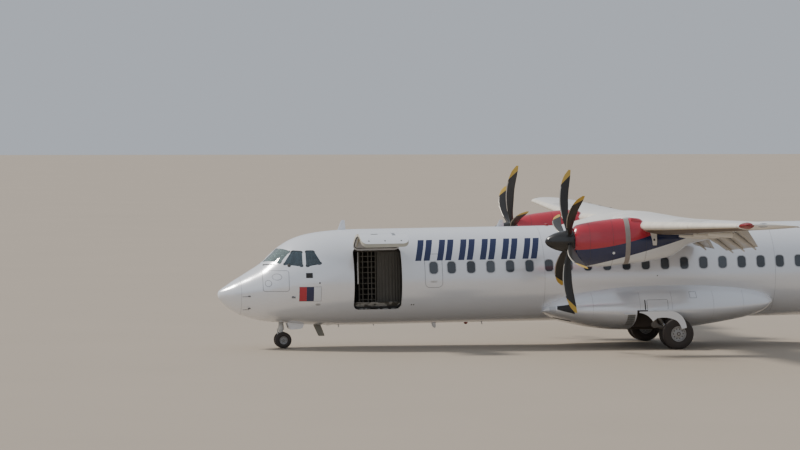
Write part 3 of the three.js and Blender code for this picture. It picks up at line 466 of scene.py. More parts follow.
    def quad(self, table, corners, side, lift, look=0, middle=0.0):
        """A thin plate on a skin, its corners going round from the lower front one"""
        return self.plate(lambda x, z, out: on_skin(table, x, z, side, out, middle), corners, lift, look)

    def plate(self, surface, corners, lift, look=0):
        """A thin plate on any surface that gives points for stations, heights and a lift"""
        corners = np.array(corners, float)
        low, high = corners[1] - corners[0], corners[2] - corners[3]
        along = np.linspace(0, 1, max(2, math.ceil(max(low[0], high[0]) / 0.08) + 1))
        tall = np.ptp(corners[:, 1])
        rings = []
        for t in np.linspace(0, 1, max(2, math.ceil(tall / 0.05) + 1)):
            start = corners[0] * (1 - t) + corners[3] * t
            way = low * (1 - t) + high * t
            x, z = start[0] + way[0] * along, start[1] + way[1] * along
            rings.append(np.concatenate([surface(x, z, lift), surface(x[::-1], z[::-1], -0.006)]))
        return self.loft(rings, look)

    def moved(self, matrix, since=0):
        """Moves the points added since a count"""
        for k in range(since, len(self.points)):
            self.points[k] = tuple(matrix @ Vector(self.points[k]))
        return self

    def join(self, other):
        """Takes in a copy of another shape"""
        start = len(self.points)
        self.points += other.points
        self.faces += [tuple(start + i for i in face) for face in other.faces]
        self.looks += other.looks
        return self

    def mesh(self):
        """The shape as a mesh with its faces turned outward"""
        mesh = bpy.data.meshes.new("shape")
        mesh.from_pydata(self.points, [], self.faces)
        mesh.polygons.foreach_set("material_index", self.looks)
        work = bmesh.new()
        work.from_mesh(mesh)
        bmesh.ops.recalc_face_normals(work, faces=work.faces)
        work.to_mesh(mesh)
        work.free()
        return mesh


def baked(mesh, *steps):
    """A mesh after modifiers, given as rows of kind and settings"""
    holder = bpy.data.objects.new("working", mesh)
    bpy.context.scene.collection.objects.link(holder)
    for kind, settings in steps:
        modifier = holder.modifiers.new(kind.lower(), kind)
        for key, value in settings.items():
            setattr(modifier, key, value)
    made = bpy.data.meshes.new_from_object(holder.evaluated_get(bpy.context.evaluated_depsgraph_get()))
    bpy.data.objects.remove(holder)
    return made


def carved(mesh, cutter, operation="DIFFERENCE"):
    """A mesh cut by another, or what the two share"""
    tool = bpy.data.objects.new("cutter", cutter)
    bpy.context.scene.collection.objects.link(tool)
    settings = {"object": tool, "operation": operation, "solver": "EXACT"}
    made = baked(mesh, ("BOOLEAN", settings))
    bpy.data.objects.remove(tool)
    return made


def skin_shading(mesh, table, middle=0.0):
    """Gives faces that follow a smooth skin its own normals, so that cuts leave no mark on it"""
    count = len(mesh.loops)
    owners = np.empty(count, np.int32)
    mesh.loops.foreach_get("vertex_index", owners)
    places = np.empty(len(mesh.vertices) * 3)
    mesh.vertices.foreach_get("co", places)
    places = places.reshape(-1, 3)[owners]
    sizes_of = np.empty(len(mesh.polygons), np.int32)
    mesh.polygons.foreach_get("loop_total", sizes_of)
    flat = np.empty(len(mesh.polygons) * 3)
    mesh.polygons.foreach_get("normal", flat)
    flat = np.repeat(flat.reshape(-1, 3), sizes_of, axis=0)
    smooth = skin_normal(table, places[:, 0], places[:, 1] - middle, places[:, 2])
    facing = (smooth * flat).sum(-1)
    smooth *= np.sign(facing)[:, None]
    chosen = np.where(np.abs(facing)[:, None] > 0.96, smooth, flat)
    mesh.normals_split_custom_set([tuple(n) for n in chosen])


def piece(name, mesh, materials, body="airframe", slot=None, replaces=(), move=None):
    """Turns a mesh in body axes into a finished piece that rides on a body"""
    mesh.transform(PARKED @ move if move else PARKED)
    looks = [face.material_index for face in mesh.polygons]
    mesh.materials.clear()
    for material in materials:
        mesh.materials.append(material)
    mesh.polygons.foreach_set("material_index", looks)
    if not mesh.has_custom_normals:
        mesh.shade_smooth()
        mesh.set_sharp_from_angle(angle=math.radians(SHARP_ANGLE))
    mesh.name = name
    made = bpy.data.objects.new(name, mesh)
    bpy.context.scene.collection.objects.link(made)
    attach(made, body)
    if replaces:
        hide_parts(*replaces)
    return made


# Geometry Nodes


def link(tree, start, end):
    tree.links.new(start, end)


def copies_tree():
    """Copies of a unit on points, each turned to the point's facing and along attributes"""
    name = "Copies on points"
    if name in bpy.data.node_groups:
        return bpy.data.node_groups[name]
    tree = bpy.data.node_groups.new(name, "GeometryNodeTree")
    tree.interface.new_socket("Geometry", in_out="INPUT", socket_type="NodeSocketGeometry")
    tree.interface.new_socket("Unit", in_out="INPUT", socket_type="NodeSocketObject")
    tree.interface.new_socket("Finish", in_out="INPUT", socket_type="NodeSocketMaterial")
    size = tree.interface.new_socket("Size", in_out="INPUT", socket_type="NodeSocketFloat")
    size.default_value = 1.0
    tree.interface.new_socket("Geometry", in_out="OUTPUT", socket_type="NodeSocketGeometry")
    given = tree.nodes.new("NodeGroupInput").outputs
    unit = tree.nodes.new("GeometryNodeObjectInfo")
    link(tree, given["Unit"], unit.inputs["Object"])
    turns = []
    for attribute, axis, pivot in (("facing", "Z", "AUTO"), ("along", "X", "Z")):
        read = tree.nodes.new("GeometryNodeInputNamedAttribute")
        read.data_type = "FLOAT_VECTOR"
        read.inputs["Name"].default_value = attribute
        align = tree.nodes.new("FunctionNodeAlignRotationToVector")
        align.axis = axis
        align.pivot_axis = pivot
        link(tree, read.outputs["Attribute"], align.inputs["Vector"])
        if turns:
            link(tree, turns[-1].outputs["Rotation"], align.inputs["Rotation"])
        turns.append(align)
    place = tree.nodes.new("GeometryNodeInstanceOnPoints")
    link(tree, given["Geometry"], place.inputs["Points"])
    link(tree, unit.outputs["Geometry"], place.inputs["Instance"])
    link(tree, turns[-1].outputs["Rotation"], place.inputs["Rotation"])
    link(tree, given["Size"], place.inputs["Scale"])
    real = tree.nodes.new("GeometryNodeRealizeInstances")
    link(tree, place.outputs["Instances"], real.inputs["Geometry"])
    finish = tree.nodes.new("GeometryNodeSetMaterial")
    link(tree, real.outputs["Geometry"], finish.inputs["Geometry"])
    link(tree, given["Finish"], finish.inputs["Material"])
    end = tree.nodes.new("NodeGroupOutput")
    link(tree, finish.outputs["Geometry"], end.inputs["Geometry"])
    return tree


def run_tree(mesh, tree, values):
    """The plain mesh that a node tree makes of a mesh, with its inputs set by identifier"""
    holder = bpy.data.objects.new("working", mesh)
    bpy.context.scene.collection.objects.link(holder)
    modifier = holder.modifiers.new("nodes", "NODES")
    modifier.node_group = tree
    for item in tree.interface.items_tree:
        if item.in_out == "INPUT" and item.name in values:
            modifier[item.identifier] = values[item.name]
    bpy.context.view_layer.update()
    made = bpy.data.meshes.new_from_object(holder.evaluated_get(bpy.context.evaluated_depsgraph_get()))
    holder.modifiers.remove(modifier)
    bpy.data.objects.remove(holder)
    return made


def copies(unit, places, finish):
    """Copies of a unit mesh at rows of place, facing and along"""
    points = bpy.data.meshes.new("points")
    points.from_pydata([row[0] for row in places], [], [])
    for name, column in (("facing", 1), ("along", 2)):
        attribute = points.attributes.new(name, "FLOAT_VECTOR", "POINT")
        attribute.data.foreach_set("vector", np.array([row[column] for row in places], float).ravel())
    holder = bpy.data.objects.new("unit", unit)
    bpy.context.scene.collection.objects.link(holder)
    made = run_tree(points, copies_tree(), {"Unit": holder, "Finish": finish, "Size": 1.0})
    bpy.data.objects.remove(holder)
    return made


# Shader nodes


def node(tree, kind, feeds=None, **settings):
    """A shader node with settings, its inputs linked from sockets or set to values"""
    made = tree.nodes.new(kind)
    for key, value in settings.items():
        setattr(made, key, value)
    for key, value in (feeds or {}).items():
        if isinstance(value, bpy.types.NodeSocket):
            tree.links.new(value, made.inputs[key])
        else:
            made.inputs[key].default_value = value
    return made


def sums(tree, operation, *values, clamp=False):
    """Output of a Math node on sockets or numbers"""
    feeds = dict(enumerate(values))
    return node(tree, "ShaderNodeMath", feeds, operation=operation, use_clamp=clamp).outputs[0]


def fade(tree, value, start, end):
    """1 below start, 0 above end, and smooth between"""
    feeds = {"Value": value, "From Min": start, "From Max": end, "To Min": 1.0, "To Max": 0.0}
    return node(tree, "ShaderNodeMapRange", feeds, interpolation_type="SMOOTHSTEP").outputs[0]


def blend(tree, share, first, second):
    """Colour mixed from two by a share"""
    return node(tree, "ShaderNodeMix", {0: share, 6: first, 7: second}, data_type="RGBA").outputs[2]


def new_group(name, inputs, outputs):
    """An empty shader group; inputs are rows of name, kind and default, outputs of name and kind"""
    tree = bpy.data.node_groups.new(name, "ShaderNodeTree")
    for title, kind, default in inputs:
        socket = tree.interface.new_socket(title, in_out="INPUT", socket_type="NodeSocket" + kind)
        socket.default_value = default
    for title, kind in outputs:
        tree.interface.new_socket(title, in_out="OUTPUT", socket_type="NodeSocket" + kind)
    return tree, tree.nodes.new("NodeGroupInput").outputs, tree.nodes.new("NodeGroupOutput").inputs


def grouped(name, build):
    """The shader group of a name, built on first use"""
    return bpy.data.node_groups.get(name) or build(name)


def body_place(name):
    """Group that turns Object coordinates back into body axes"""
    outputs = [("Place", "Vector"), ("X", "Float"), ("Y", "Float"), ("Z", "Float")]
    tree, _, ends = new_group(name, [], outputs)
    place = object_place(tree)
    back = -(TIP.inverted() @ SHIFT)
    feeds = {"Vector": place, "Rotation": (0, NOSE_DOWN, 0), "Location": tuple(back)}
    body = node(tree, "ShaderNodeMapping", feeds).outputs[0]
    split = node(tree, "ShaderNodeSeparateXYZ", {0: body})
    link(tree, body, ends["Place"])
    for axis in "XYZ":
        link(tree, split.outputs[axis], ends[axis])
    return tree


def body_axes(tree):
    """Outputs of the group that gives body axes"""
    return node(tree, "ShaderNodeGroup", node_tree=grouped("Body axes", body_place)).outputs


def object_place(tree):
    """Object coordinates, for a grain that stays with its piece"""
    return node(tree, "ShaderNodeTexCoord").outputs["Object"]


def noise(tree, place, scale, detail):
    """Output of a Noise node"""
    feeds = {"Vector": place, "Scale": scale, "Detail": detail}
    return node(tree, "ShaderNodeTexNoise", feeds).outputs[0]


def dust_and_floor_bounce(name):
    """Group of dust in clouds and fine streaks, a colour that turns browner towards the bottom from dust and
    a painted warm bounce from the floor, and an uneven gloss
    """
    tree, given, ends = new_group(
        name,
        [("Colour", "Color", (1, 1, 1, 1)), ("Dust", "Color", (0.3, 0.25, 0.2, 1)), ("Amount", "Float", 0.3),
         ("Low", "Float", 0.5), ("High", "Float", 2.0), ("Roughness", "Float", 0.3)],
        [("Colour", "Color"), ("Roughness", "Float"), ("Height", "Float")],
    )
    axes = body_axes(tree)
    cloud = noise(tree, axes["Place"], 0.9, 5.0)
    long = node(tree, "ShaderNodeMapping", {"Vector": axes["Place"], "Scale": (5.0, 3.0, 0.45)}).outputs[0]
    streak = noise(tree, long, 2.6, 6.0)
    low = fade(tree, axes["Z"], given["Low"], given["High"])
    uneven = sums(tree, "MULTIPLY", cloud, streak)
    film = sums(tree, "MULTIPLY_ADD", uneven, 1.6, -0.2, clamp=True)
    gathered = sums(tree, "MULTIPLY_ADD", low, 0.75, 0.12)
    share = sums(tree, "MULTIPLY", sums(tree, "MULTIPLY", film, gathered), given["Amount"])
    # A plain browning towards the bottom: belly dust, and a painted warm bounce of light from the floor
    share = sums(tree, "MULTIPLY_ADD", sums(tree, "MULTIPLY", low, given["Amount"]), 0.35, share, clamp=True)
    link(tree, blend(tree, share, given["Colour"], given["Dust"]), ends["Colour"])
    gloss = sums(tree, "MULTIPLY_ADD", cloud, 0.14, sums(tree, "SUBTRACT", given["Roughness"], 0.07))
    link(tree, sums(tree, "MULTIPLY_ADD", share, 0.35, gloss, clamp=True), ends["Roughness"])
    fine = noise(tree, axes["Place"], 9.0, 2.0)
    link(tree, fine, ends["Height"])
    return tree


def seams(name):
    """Group of thin joints across a coordinate at a pitch"""
    tree, given, ends = new_group(
        name,
        [("Value", "Float", 0.0), ("Pitch", "Float", 1.0), ("Shift", "Float", 0.0),
         ("Width", "Float", 0.004)],
        [("Mask", "Float")],
    )
    from_joint = sums(tree, "SUBTRACT", given["Value"], given["Shift"])
    away = sums(tree, "PINGPONG", from_joint, sums(tree, "MULTIPLY", given["Pitch"], 0.5))
    link(tree, fade(tree, away, sums(tree, "MULTIPLY", given["Width"], 0.5), given["Width"]), ends["Mask"])
    return tree


def new_material(name, rough=0.4, metal=0.0, coat=0.0):
    """A material with its node tree and its main shader"""
    material = bpy.data.materials.new(name)
    material.use_nodes = True
    shader = material.node_tree.nodes["Principled BSDF"]
    shader.inputs["Roughness"].default_value = rough
    shader.inputs["Metallic"].default_value = metal
    shader.inputs["Coat Weight"].default_value = coat
    shader.inputs["Coat Roughness"].default_value = 0.08
    return material, material.node_tree, shader


def bump(tree, shader, height, strength, distance):
    """Roughens a surface by a height"""
    feeds = {"Height": height, "Strength": strength, "Distance": distance}
    link(tree, node(tree, "ShaderNodeBump", feeds).outputs[0], shader.inputs["Normal"])


def paint(name, colour, dust=0.3, low=0.6, high=2.6, rough=0.32, coat=0.25, joints=True, chosen=None):
    """Gloss paint with dust, a painted warm floor bounce low down, panel joints and an uneven surface;
    chosen makes the colour from body axes
    """
    if name in bpy.data.materials:
        return bpy.data.materials[name]
    material, tree, shader = new_material(name, rough, coat=coat)
    axes = body_axes(tree)
    base = chosen(tree, axes) if chosen else tuple(colour)
    feeds = {"Colour": base, "Dust": tuple(colours().grime_and_bounce), "Amount": dust, "Low": low, "High": high,
             "Roughness": rough}
    worn = node(tree, "ShaderNodeGroup", feeds, node_tree=grouped("Weathering", dust_and_floor_bounce)).outputs
    shown, height = worn["Colour"], worn["Height"]
    if joints:
        pitch = sizes().panel_pitch
        rows = ((axes["X"], pitch, SECTION_JOINTS[1], 0.006), (axes["Z"], 0.62, 0.31, 0.004))
        marks = [
            node(tree, "ShaderNodeGroup", {"Value": value, "Pitch": step, "Shift": shift, "Width": width},
                 node_tree=grouped("Seams", seams)).outputs[0]
            for value, step, shift, width in rows
        ]
        mark = sums(tree, "MAXIMUM", *marks)
        shown = blend(tree, sums(tree, "MULTIPLY", mark, 0.22), shown, (0.2, 0.2, 0.21, 1))
        height = sums(tree, "MULTIPLY_ADD", mark, -1.5, height)
    link(tree, shown, shader.inputs["Base Color"])
    link(tree, worn["Roughness"], shader.inputs["Roughness"])
    bump(tree, shader, height, 0.12, 0.003)
    return material


def plain(name, colour, rough=0.5, metal=0.0, coat=0.0, grain=40.0, depth=0.3, vary=0.25):
    """A finish of one colour with cloudy variation, an uneven gloss and a fine grain"""
    if name in bpy.data.materials:
        return bpy.data.materials[name]
    material, tree, shader = new_material(name, rough, metal, coat)
    place = object_place(tree)
    cloud = noise(tree, place, 3.1, 6.0)
    fine = noise(tree, place, grain, 4.0)
    dark = tuple(v * (1 - vary) for v in colour[:3]) + (1,)
    light = tuple(min(1.0, v * (1 + vary)) for v in colour[:3]) + (1,)
    link(tree, blend(tree, cloud, dark, light), shader.inputs["Base Color"])
    gloss = sums(tree, "MULTIPLY_ADD", cloud, 0.2, rough - 0.1, clamp=True)
    link(tree, gloss, shader.inputs["Roughness"])
    bump(tree, shader, fine, depth, 0.001)
    return material


def glass(name, colour, through=0.85, rough=0.04):
    """Tinted glass with a faint haze"""
    material, tree, shader = new_material(name, rough)
    shader.inputs["Transmission Weight"].default_value = through
    shader.inputs["IOR"].default_value = 1.45
    place = object_place(tree)
    haze = noise(tree, place, 4.0, 3.0)
    dark = tuple(v * 0.8 for v in colour[:3]) + (1,)
    link(tree, blend(tree, haze, dark, tuple(colour)), shader.inputs["Base Color"])
    link(tree, sums(tree, "MULTIPLY_ADD", haze, 0.05, rough), shader.inputs["Roughness"])
    return material


def white_paint():
    return paint("white_paint", colours().white)


def wall_paint():
    return plain("primer_wall", (0.5, 0.48, 0.4, 1), 0.6)


# Dark brown: painted shade in the wheel wells and under the belly keel, with some grime
def well_lining():
    return plain("well_lining", (0.075, 0.058, 0.045, 1), 0.8, grain=20.0)


def seal_rubber():
    return plain("seal_rubber", (0.03, 0.03, 0.032, 1), 0.7)


def bare_metal():
    return plain("bare_metal", (0.55, 0.56, 0.57, 1), 0.35, metal=1.0, vary=0.12)


# Fuselage


def shell(table, x0, x1, wall):
    """A tube of skin with an inner wall and a rim at each end"""
    return shell_between(table, x0, x1, 0.0, -wall)


def shell_between(table, x0, x1, outside, inside):
    """A tube of skin between two growths"""
    stations = steps_between(x0, x1, sizes().station_step)
    count = sizes().around
    outer = egg_rings(table, stations, count, outside)
    return Shape().loft(outer + egg_rings(table, stations[::-1], count, inside), hoop=True)


def window_places(x0, x1):
    """Place, facing and along of the cabin windows between two stations, on both sides"""
    stations = [EXIT_WINDOW_X] + [WINDOW["first"] + WINDOW["pitch"] * k for k in range(WINDOW["count"])]
    rows = []
    for _, side in SIDES:
        for x in stations:
            if not x0 < x < x1:
                continue
            z = WINDOW["z"]
            place = on_skin(FUSELAGE, x, z, side)
            facing = on_skin(FUSELAGE, x, z, side, 1.0) - place
            rows.append((place, facing, (-side, 0, 0)))
    return rows


def window_unit(rows, hoop):
    """Loops of a window's outline at rows of growth and lift, curved as the skin is"""
    x, z = WINDOW["first"], WINDOW["z"]
    middle = on_skin(FUSELAGE, x, z, -1)
    facing = on_skin(FUSELAGE, x, z, -1, 1.0) - middle
    up = np.cross(facing, (1, 0, 0))
    rings = []
    for grow, lift in rows:
        if grow is None:
            rings.append([(0, 0, lift)])
            continue
        wide, high = WINDOW["wide"] + 2 * grow, WINDOW["high"] + 2 * grow
        outline = rounded(wide, high, max(WINDOW["corner"] + grow, 0.01))
        points = on_skin(FUSELAGE, x + outline[:, 0], z + outline[:, 1] * up[2], -1, lift) - middle
        rings.append(np.stack([points[:, 0], points @ up, points @ facing], -1))
    return Shape().loft(rings, hoop=hoop).mesh()


def window_cutter(x0, x1):
    """Blocks through the skin at the cabin windows between two stations"""
    unit = window_unit([(0.0, 0.06), (0.0, -0.12)], False)
    return copies(unit, window_places(x0, x1), seal_rubber())


def box_outline(box, grow=0.0):
    """Stations and heights round an opening"""
    width, height = box["x1"] - box["x0"] + 2 * grow, box["z1"] - box["z0"] + 2 * grow
    middle = ((box["x0"] + box["x1"]) / 2, (box["z0"] + box["z1"]) / 2)
    return [(middle[0] + a, middle[1] + b) for a, b in rounded(width, height, box["corner"] + grow, 8)]


def grown(box, by, below=None, corner=0.0):
    """An opening made larger all round, or smaller where by is less than 0"""
    return {"x0": box["x0"] - by, "x1": box["x1"] + by, "z0": box["z0"] - (by if below is None else below),
            "z1": box["z1"] + by, "corner": box["corner"] + corner}


def block_through(box):
    """A rounded block through the port side of the fuselage, for a doorway"""
    points = [(x, 0.0, z) for x, z in box_outline(box)]
    return Shape().prism(points, (0, -0.5, 0), (0, -1.8, 0), 1)


def pane_prism(corners, radius, side, shrink):
    """A prism through the skin at a pane, its corners rounded and its edge drawn in"""
    points = [Vector((x, side * y, z)) for x, y, z in corners]
    centre = sum(points, Vector()) / 4
    normal = (points[2] - points[0]).cross(points[3] - points[1]).normalized()
    points = [p + (centre - p).normalized() * shrink for p in points]
    outline = []
    for k, point in enumerate(points):
        before = (points[k - 1] - point).normalized()
        after = (points[(k + 1) % 4] - point).normalized()
        outline += bow(point + before * radius, point, point + after * radius, 5)
    return Shape().loft([[p + normal * 0.2 for p in outline], [p - normal * 0.2 for p in outline]], 1)


def with_panes_cut(mesh, shrink):
    """A mesh with the flight deck's six panes cut out of it"""
    for _, side in SIDES:
        for _, corners, radius in PANES:
            mesh = carved(mesh, pane_prism(corners, radius, side, shrink).mesh())
    return mesh


def skin_piece(name, mesh, node_name):
    """A painted stretch of hull, with primer on its cut edges"""
    skin_shading(mesh, FUSELAGE)
    piece(name, mesh, [white_paint(), wall_paint()], slot="white_paint", replaces=[node_name])


class AIRLINER_OT_fuselage(bpy.types.Operator):
    """Smooth skins of the fuselage sections, with doorways, panes and windows cut in them"""

    bl_idname = "airliner.fuselage"
    bl_label = "Fuselage skins"

    def execute(self, context):
        tip = [RADOME_END * (k / 28) ** 2 for k in range(29)]
        radome = Shape().loft(egg_rings(FUSELAGE, tip, sizes().around)).mesh()
        piece("radome_skin", radome, [white_paint()], slot="white_composite", replaces=["radome"])
        nose = shell(FUSELAGE, RADOME_END + JOINT_GAP, SECTION_JOINTS[1], SKIN_WALL).mesh()
        nose = with_panes_cut(nose, 0.0)
        bay = Shape().box(NOSE_BAY["x0"], NOSE_BAY["x1"], -NOSE_BAY["half"], NOSE_BAY["half"], 0.3, 1.2, 1)
        nose = carved(nose, bay.mesh())
        skin_piece("nose_skin", nose, "nose_shell")
        names = ("forward_fuselage", "mid_fuselage", "rear_fuselage")
        for k, name in enumerate(names):
            x0, x1 = SECTION_JOINTS[k + 1] + JOINT_GAP, SECTION_JOINTS[k + 2]
            mesh = shell(FUSELAGE, x0, x1, SKIN_WALL).mesh()
            for box in (CARGO, STAIR):
                if x0 < box["x0"] < x1:
                    mesh = carved(mesh, block_through(box).mesh())
            mesh = carved(mesh, window_cutter(x0, x1))
            skin_piece(name.replace("fuselage", "skin"), mesh, name)
        tail = steps_between(SECTION_JOINTS[4] + JOINT_GAP, FUSELAGE[-2, 0], 0.1)
        tip = [27.13, 27.155, FUSELAGE[-1, 0]]
        cone = Shape().loft(egg_rings(FUSELAGE, [*tail, *tip], 96)).mesh()
        piece("tail_cone_skin", cone, [white_paint()], slot="white_composite", replaces=["tail_cone"])
        return {"FINISHED"}


class AIRLINER_OT_windows(bpy.types.Operator):
    """Cabin windows: a frame and a pane in each cut of the skin"""

    bl_idname = "airliner.windows"
    bl_label = "Cabin windows"

    def execute(self, context):
        ring = sizes().window_frame
        frame_rows = [(ring, -0.002), (ring, 0.0015), (ring - 0.004, 0.003), (0.0, 0.003), (-0.004, 0.001),
                      (-0.006, -0.03), (0.0, -0.03), (0.0, -0.002)]
        pane_rows = [(None, -0.014), (-0.08, -0.014), (-0.0045, -0.014), (-0.0045, -0.009), (-0.05, -0.009),
                     (-0.09, -0.009), (None, -0.009)]
        frame_finish = plain("window_frame_paint", (0.42, 0.44, 0.47, 1), 0.4)
        pane_finish = cabin_glass()
        for name, x0, x1 in zip(("forward", "mid", "rear"), SECTION_JOINTS[1:], SECTION_JOINTS[2:]):
            places = window_places(x0, x1)
            frames = copies(window_unit(frame_rows, True), places, frame_finish)
            piece(f"window_frames_{name}", frames, [frame_finish], slot="white_composite")
            panes = copies(window_unit(pane_rows, False), places, pane_finish)
            piece(f"cabin_panes_{name}", panes, [pane_finish], slot="window_glass")
        return {"FINISHED"}


def cabin_glass():
    """Dark panes whose tone differs from window to window: the blinds, and painted sky light"""
    name = "cabin_glass"
    if name in bpy.data.materials:
        return bpy.data.materials[name]
    material, tree, shader = new_material(name, 0.06, coat=0.5)
    axes = body_axes(tree)
    seat_row = sums(tree, "FLOOR", sums(tree, "DIVIDE", axes["X"], WINDOW["pitch"]))
    picked = node(tree, "ShaderNodeTexWhiteNoise", {"W": seat_row}, noise_dimensions="1D").outputs["Value"]
    haze = noise(tree, axes["Place"], 2.5, 2.0)
    share = sums(tree, "MULTIPLY_ADD", picked, 0.7, sums(tree, "MULTIPLY", haze, 0.3), clamp=True)
    # Darker and lighter panes: blinds, with a painted bluish sky light in the lighter ones
    base = blend(tree, share, (0.025, 0.03, 0.038, 1), (0.11, 0.13, 0.155, 1))
    link(tree, base, shader.inputs["Base Color"])
    link(tree, sums(tree, "MULTIPLY_ADD", haze, 0.08, 0.03), shader.inputs["Roughness"])
    return material


# Wing-like sections

# Wing and tailplane rows: y, leading edge station and height, chord, thickness share
WING = np.array([
    (0.0, 11.06, 3.54, 2.57, 0.18),
    (4.8, 11.06, 3.51, 2.57, 0.18),
    (9.0, 11.3, 3.64, 2.1, 0.155),
    (13.2, 11.545, 3.77, 1.625, 0.13),
    (13.525, 11.7, 3.8, 1.35, 0.1),
])
TAILPLANE = np.array([
    (0.0, 24.72, 6.7, 2.0, 0.11),
    (3.5, 25.42, 6.7, 1.27, 0.1),
    (3.655, 25.56, 6.7, 1.05, 0.08),
])
# Nose-up tilt and camber
WING_BEND = (0.035, 0.012)
TAIL_BEND = (0.0, 0.0)
# Where the centre section ends, and where the tips start to round off
WING_BREAK = 4.8
WING_ROUND = 13.3
TAIL_ROUND = 3.52
# Room ahead of a hinged surface's nose and beside its ends
PLAY = 0.008
END_PLAY = 0.022
# Hinged surfaces: name, inner y, outer y, hinge share of the chord
FLAP_INNER = ("flap_inner", 1.25, 3.52, 0.66)
FLAP_OUTER = ("flap_outer", 4.86, 9.02, 0.66)
FLAP_DOWN = 45.0
AILERON = ("aileron", 9.08, 13.15, 0.72)
ELEVATOR = ("elevator", 0.2, 3.46, 0.65)


def half_thickness(share):
    """Half thickness of a wing section at shares of its chord, for a thickness of 1"""
    share = np.asarray(share, float)
    bulge = 1.4845 * np.sqrt(share) - 0.63 * share - 1.758 * share ** 2
    return bulge + 1.4215 * share ** 3 - 0.5075 * share ** 4


def foil_face(chord, thick, shares, sign, grow=0.0, camber=0.0):
    """Points along and up of a section's top (1) or bottom (-1) at shares of its chord"""
    arch = camber * chord * 4 * shares * (1 - shares)
    up = sign * (half_thickness(shares) * thick + grow) + arch
    return np.stack([shares * chord - grow * (1 - shares) ** 30, up], -1)


def foil_outline(chord, thick, part="whole", hinge=0.7, camber=0.0):
    """Outline of a whole section, of the part ahead of a hinge or of the part behind it"""
    steps = (1 - np.cos(np.linspace(0, np.pi, 37))) / 2
    if part == "whole":
        return np.concatenate([foil_face(chord, thick, steps[::-1], 1, 0, camber),
                               foil_face(chord, thick, steps[1:], -1, 0, camber)])
    half = float(half_thickness(hinge)) * thick
    middle = np.array([hinge * chord, camber * chord * 4 * hinge * (1 - hinge)])
    if part == "behind":
        shares = hinge + (1 - hinge) * steps
        turn = np.linspace(0.5 * np.pi, 1.5 * np.pi, 15)[1:-1]
        nose = middle + half * np.stack([np.cos(turn), np.sin(turn)], -1)
        return np.concatenate([foil_face(chord, thick, shares[::-1], 1, 0, camber), nose,
                               foil_face(chord, thick, shares, -1, 0, camber)])
    room = half + PLAY
    shares = (hinge - math.sqrt(room ** 2 - half ** 2) / chord) * steps
    lean = math.asin(half / room)
    turn = np.linspace(np.pi + lean, np.pi - lean, 13)[1:-1]
    cove = middle + room * np.stack([np.cos(turn), np.sin(turn)], -1)
    return np.concatenate([foil_face(chord, thick, shares[::-1], 1, 0, camber),
                           foil_face(chord, thick, shares[1:], -1, 0, camber), cove])


def foil_band(chord, thick, top, bottom, lift, camber=0.0):
    """Outline of a thin band wrapped round a leading edge"""
    steps = np.linspace(0, 1, 13) ** 2

    def wrap(grow):
        return np.concatenate([foil_face(chord, thick, top * steps[::-1], 1, grow, camber),
                               foil_face(chord, thick, bottom * steps[1:], -1, grow, camber)])

    return np.concatenate([wrap(lift), wrap(-0.002)[::-1]])


def span_row(table, y):
    """Leading edge station and height, chord and thickness share at a span"""
    return [float(np.interp(y, table[:, 0], table[:, k])) for k in range(1, 5)]


def span_rings(table, bend, y0, y1, side, outline, rounding=None):
    """Rings across a span; outline makes each one from chord and thickness"""
    spans = [y0, *(float(y) for y in table[:, 0] if y0 < y < y1), y1]
    if rounding is not None:
        turn = np.linspace(0, 0.5 * np.pi, 10)[1:-1]
        spans = sorted([*spans, *(rounding + (y1 - rounding) * math.sin(a) for a in turn)])
    rings = []
    for y in spans:
        edge_x, edge_z, chord, ratio = span_row(table, y)
        if rounding is not None and y > rounding:
            ratio *= math.sqrt(max(1 - ((y - rounding) / (y1 - rounding)) ** 2, 0.004))
        flat = outline(chord, chord * ratio)
        height = edge_z + flat[:, 1] - flat[:, 0] * bend[0]
        rings.append(np.stack([edge_x + flat[:, 0], np.full(len(flat), side * y), height], -1))
    return rings


def hinged_gap(table, bend, part, y0, y1, side):
    """Rings of the stretch of a fixed surface ahead of a hinged one"""
    def outline(chord, thick):
        return foil_outline(chord, thick, "ahead", part[3], bend[1])

    return span_rings(table, bend, max(part[1] - END_PLAY, y0), min(part[2] + END_PLAY, y1), side, outline)


def hinged_mesh(table, bend, part, side):
    """A hinged surface between its two ends"""
    def outline(chord, thick):
        return foil_outline(chord, thick, "behind", part[3], bend[1])

    return Shape().loft(span_rings(table, bend, part[1], part[2], side, outline)).mesh()


def hinge_place(name):
    """A joint's place in body axes"""
    return PARKED.inverted() @ Vector(JOINTS[name]["pos_m"])


def turned_about(place, degrees, axis):
    """Turn about a line through a place"""
    turn = Matrix.Rotation(math.radians(degrees), 4, axis)
    return Matrix.Translation(place) @ turn @ Matrix.Translation(-place)


def lowered(body):
    """Turn of a flap about its hinge line, down to where it is parked"""
    hinge = f"{body}_hinge"
    return turned_about(hinge_place(hinge), FLAP_DOWN, TIP.inverted() @ Vector(JOINTS[hinge]["axis"]))


def whole_rings(table, bend, y0, y1, side, rounding=None):
    """Rings of a stretch with nothing hinged behind it"""
    def outline(chord, thick):
        return foil_outline(chord, thick, camber=bend[1])

    return span_rings(table, bend, y0, y1, side, outline, rounding)


def band_rings(table, bend, y0, y1, side, top, bottom, lift):
    """Rings of a thin band round the leading edge"""
    def outline(chord, thick):
        return foil_band(chord, thick, top, bottom, lift, bend[1])

    return span_rings(table, bend, y0, y1, side, outline)


def cream_paint():
    return paint("wing_paint", colours().cream, dust=0.25, low=2.8, high=4.2)


def flap_paint():
    # A darker copy of the wing paint: painted shade for the flaps, ailerons and the flaps' hinge fairings
    shade = tuple(v * 0.72 for v in colours().cream[:3]) + (1,)
    return paint("flap_paint", shade, dust=0.35, low=2.6, high=4.0)


def boot_rubber():
    return plain("boot_rubber", (0.74, 0.7, 0.61, 1), 0.45, grain=12.0)


# A gold line along the lower leading edge, a painted highlight
def bright_edge():
    return plain("bright_edge", (0.62, 0.5, 0.3, 1), 0.35, metal=0.6)


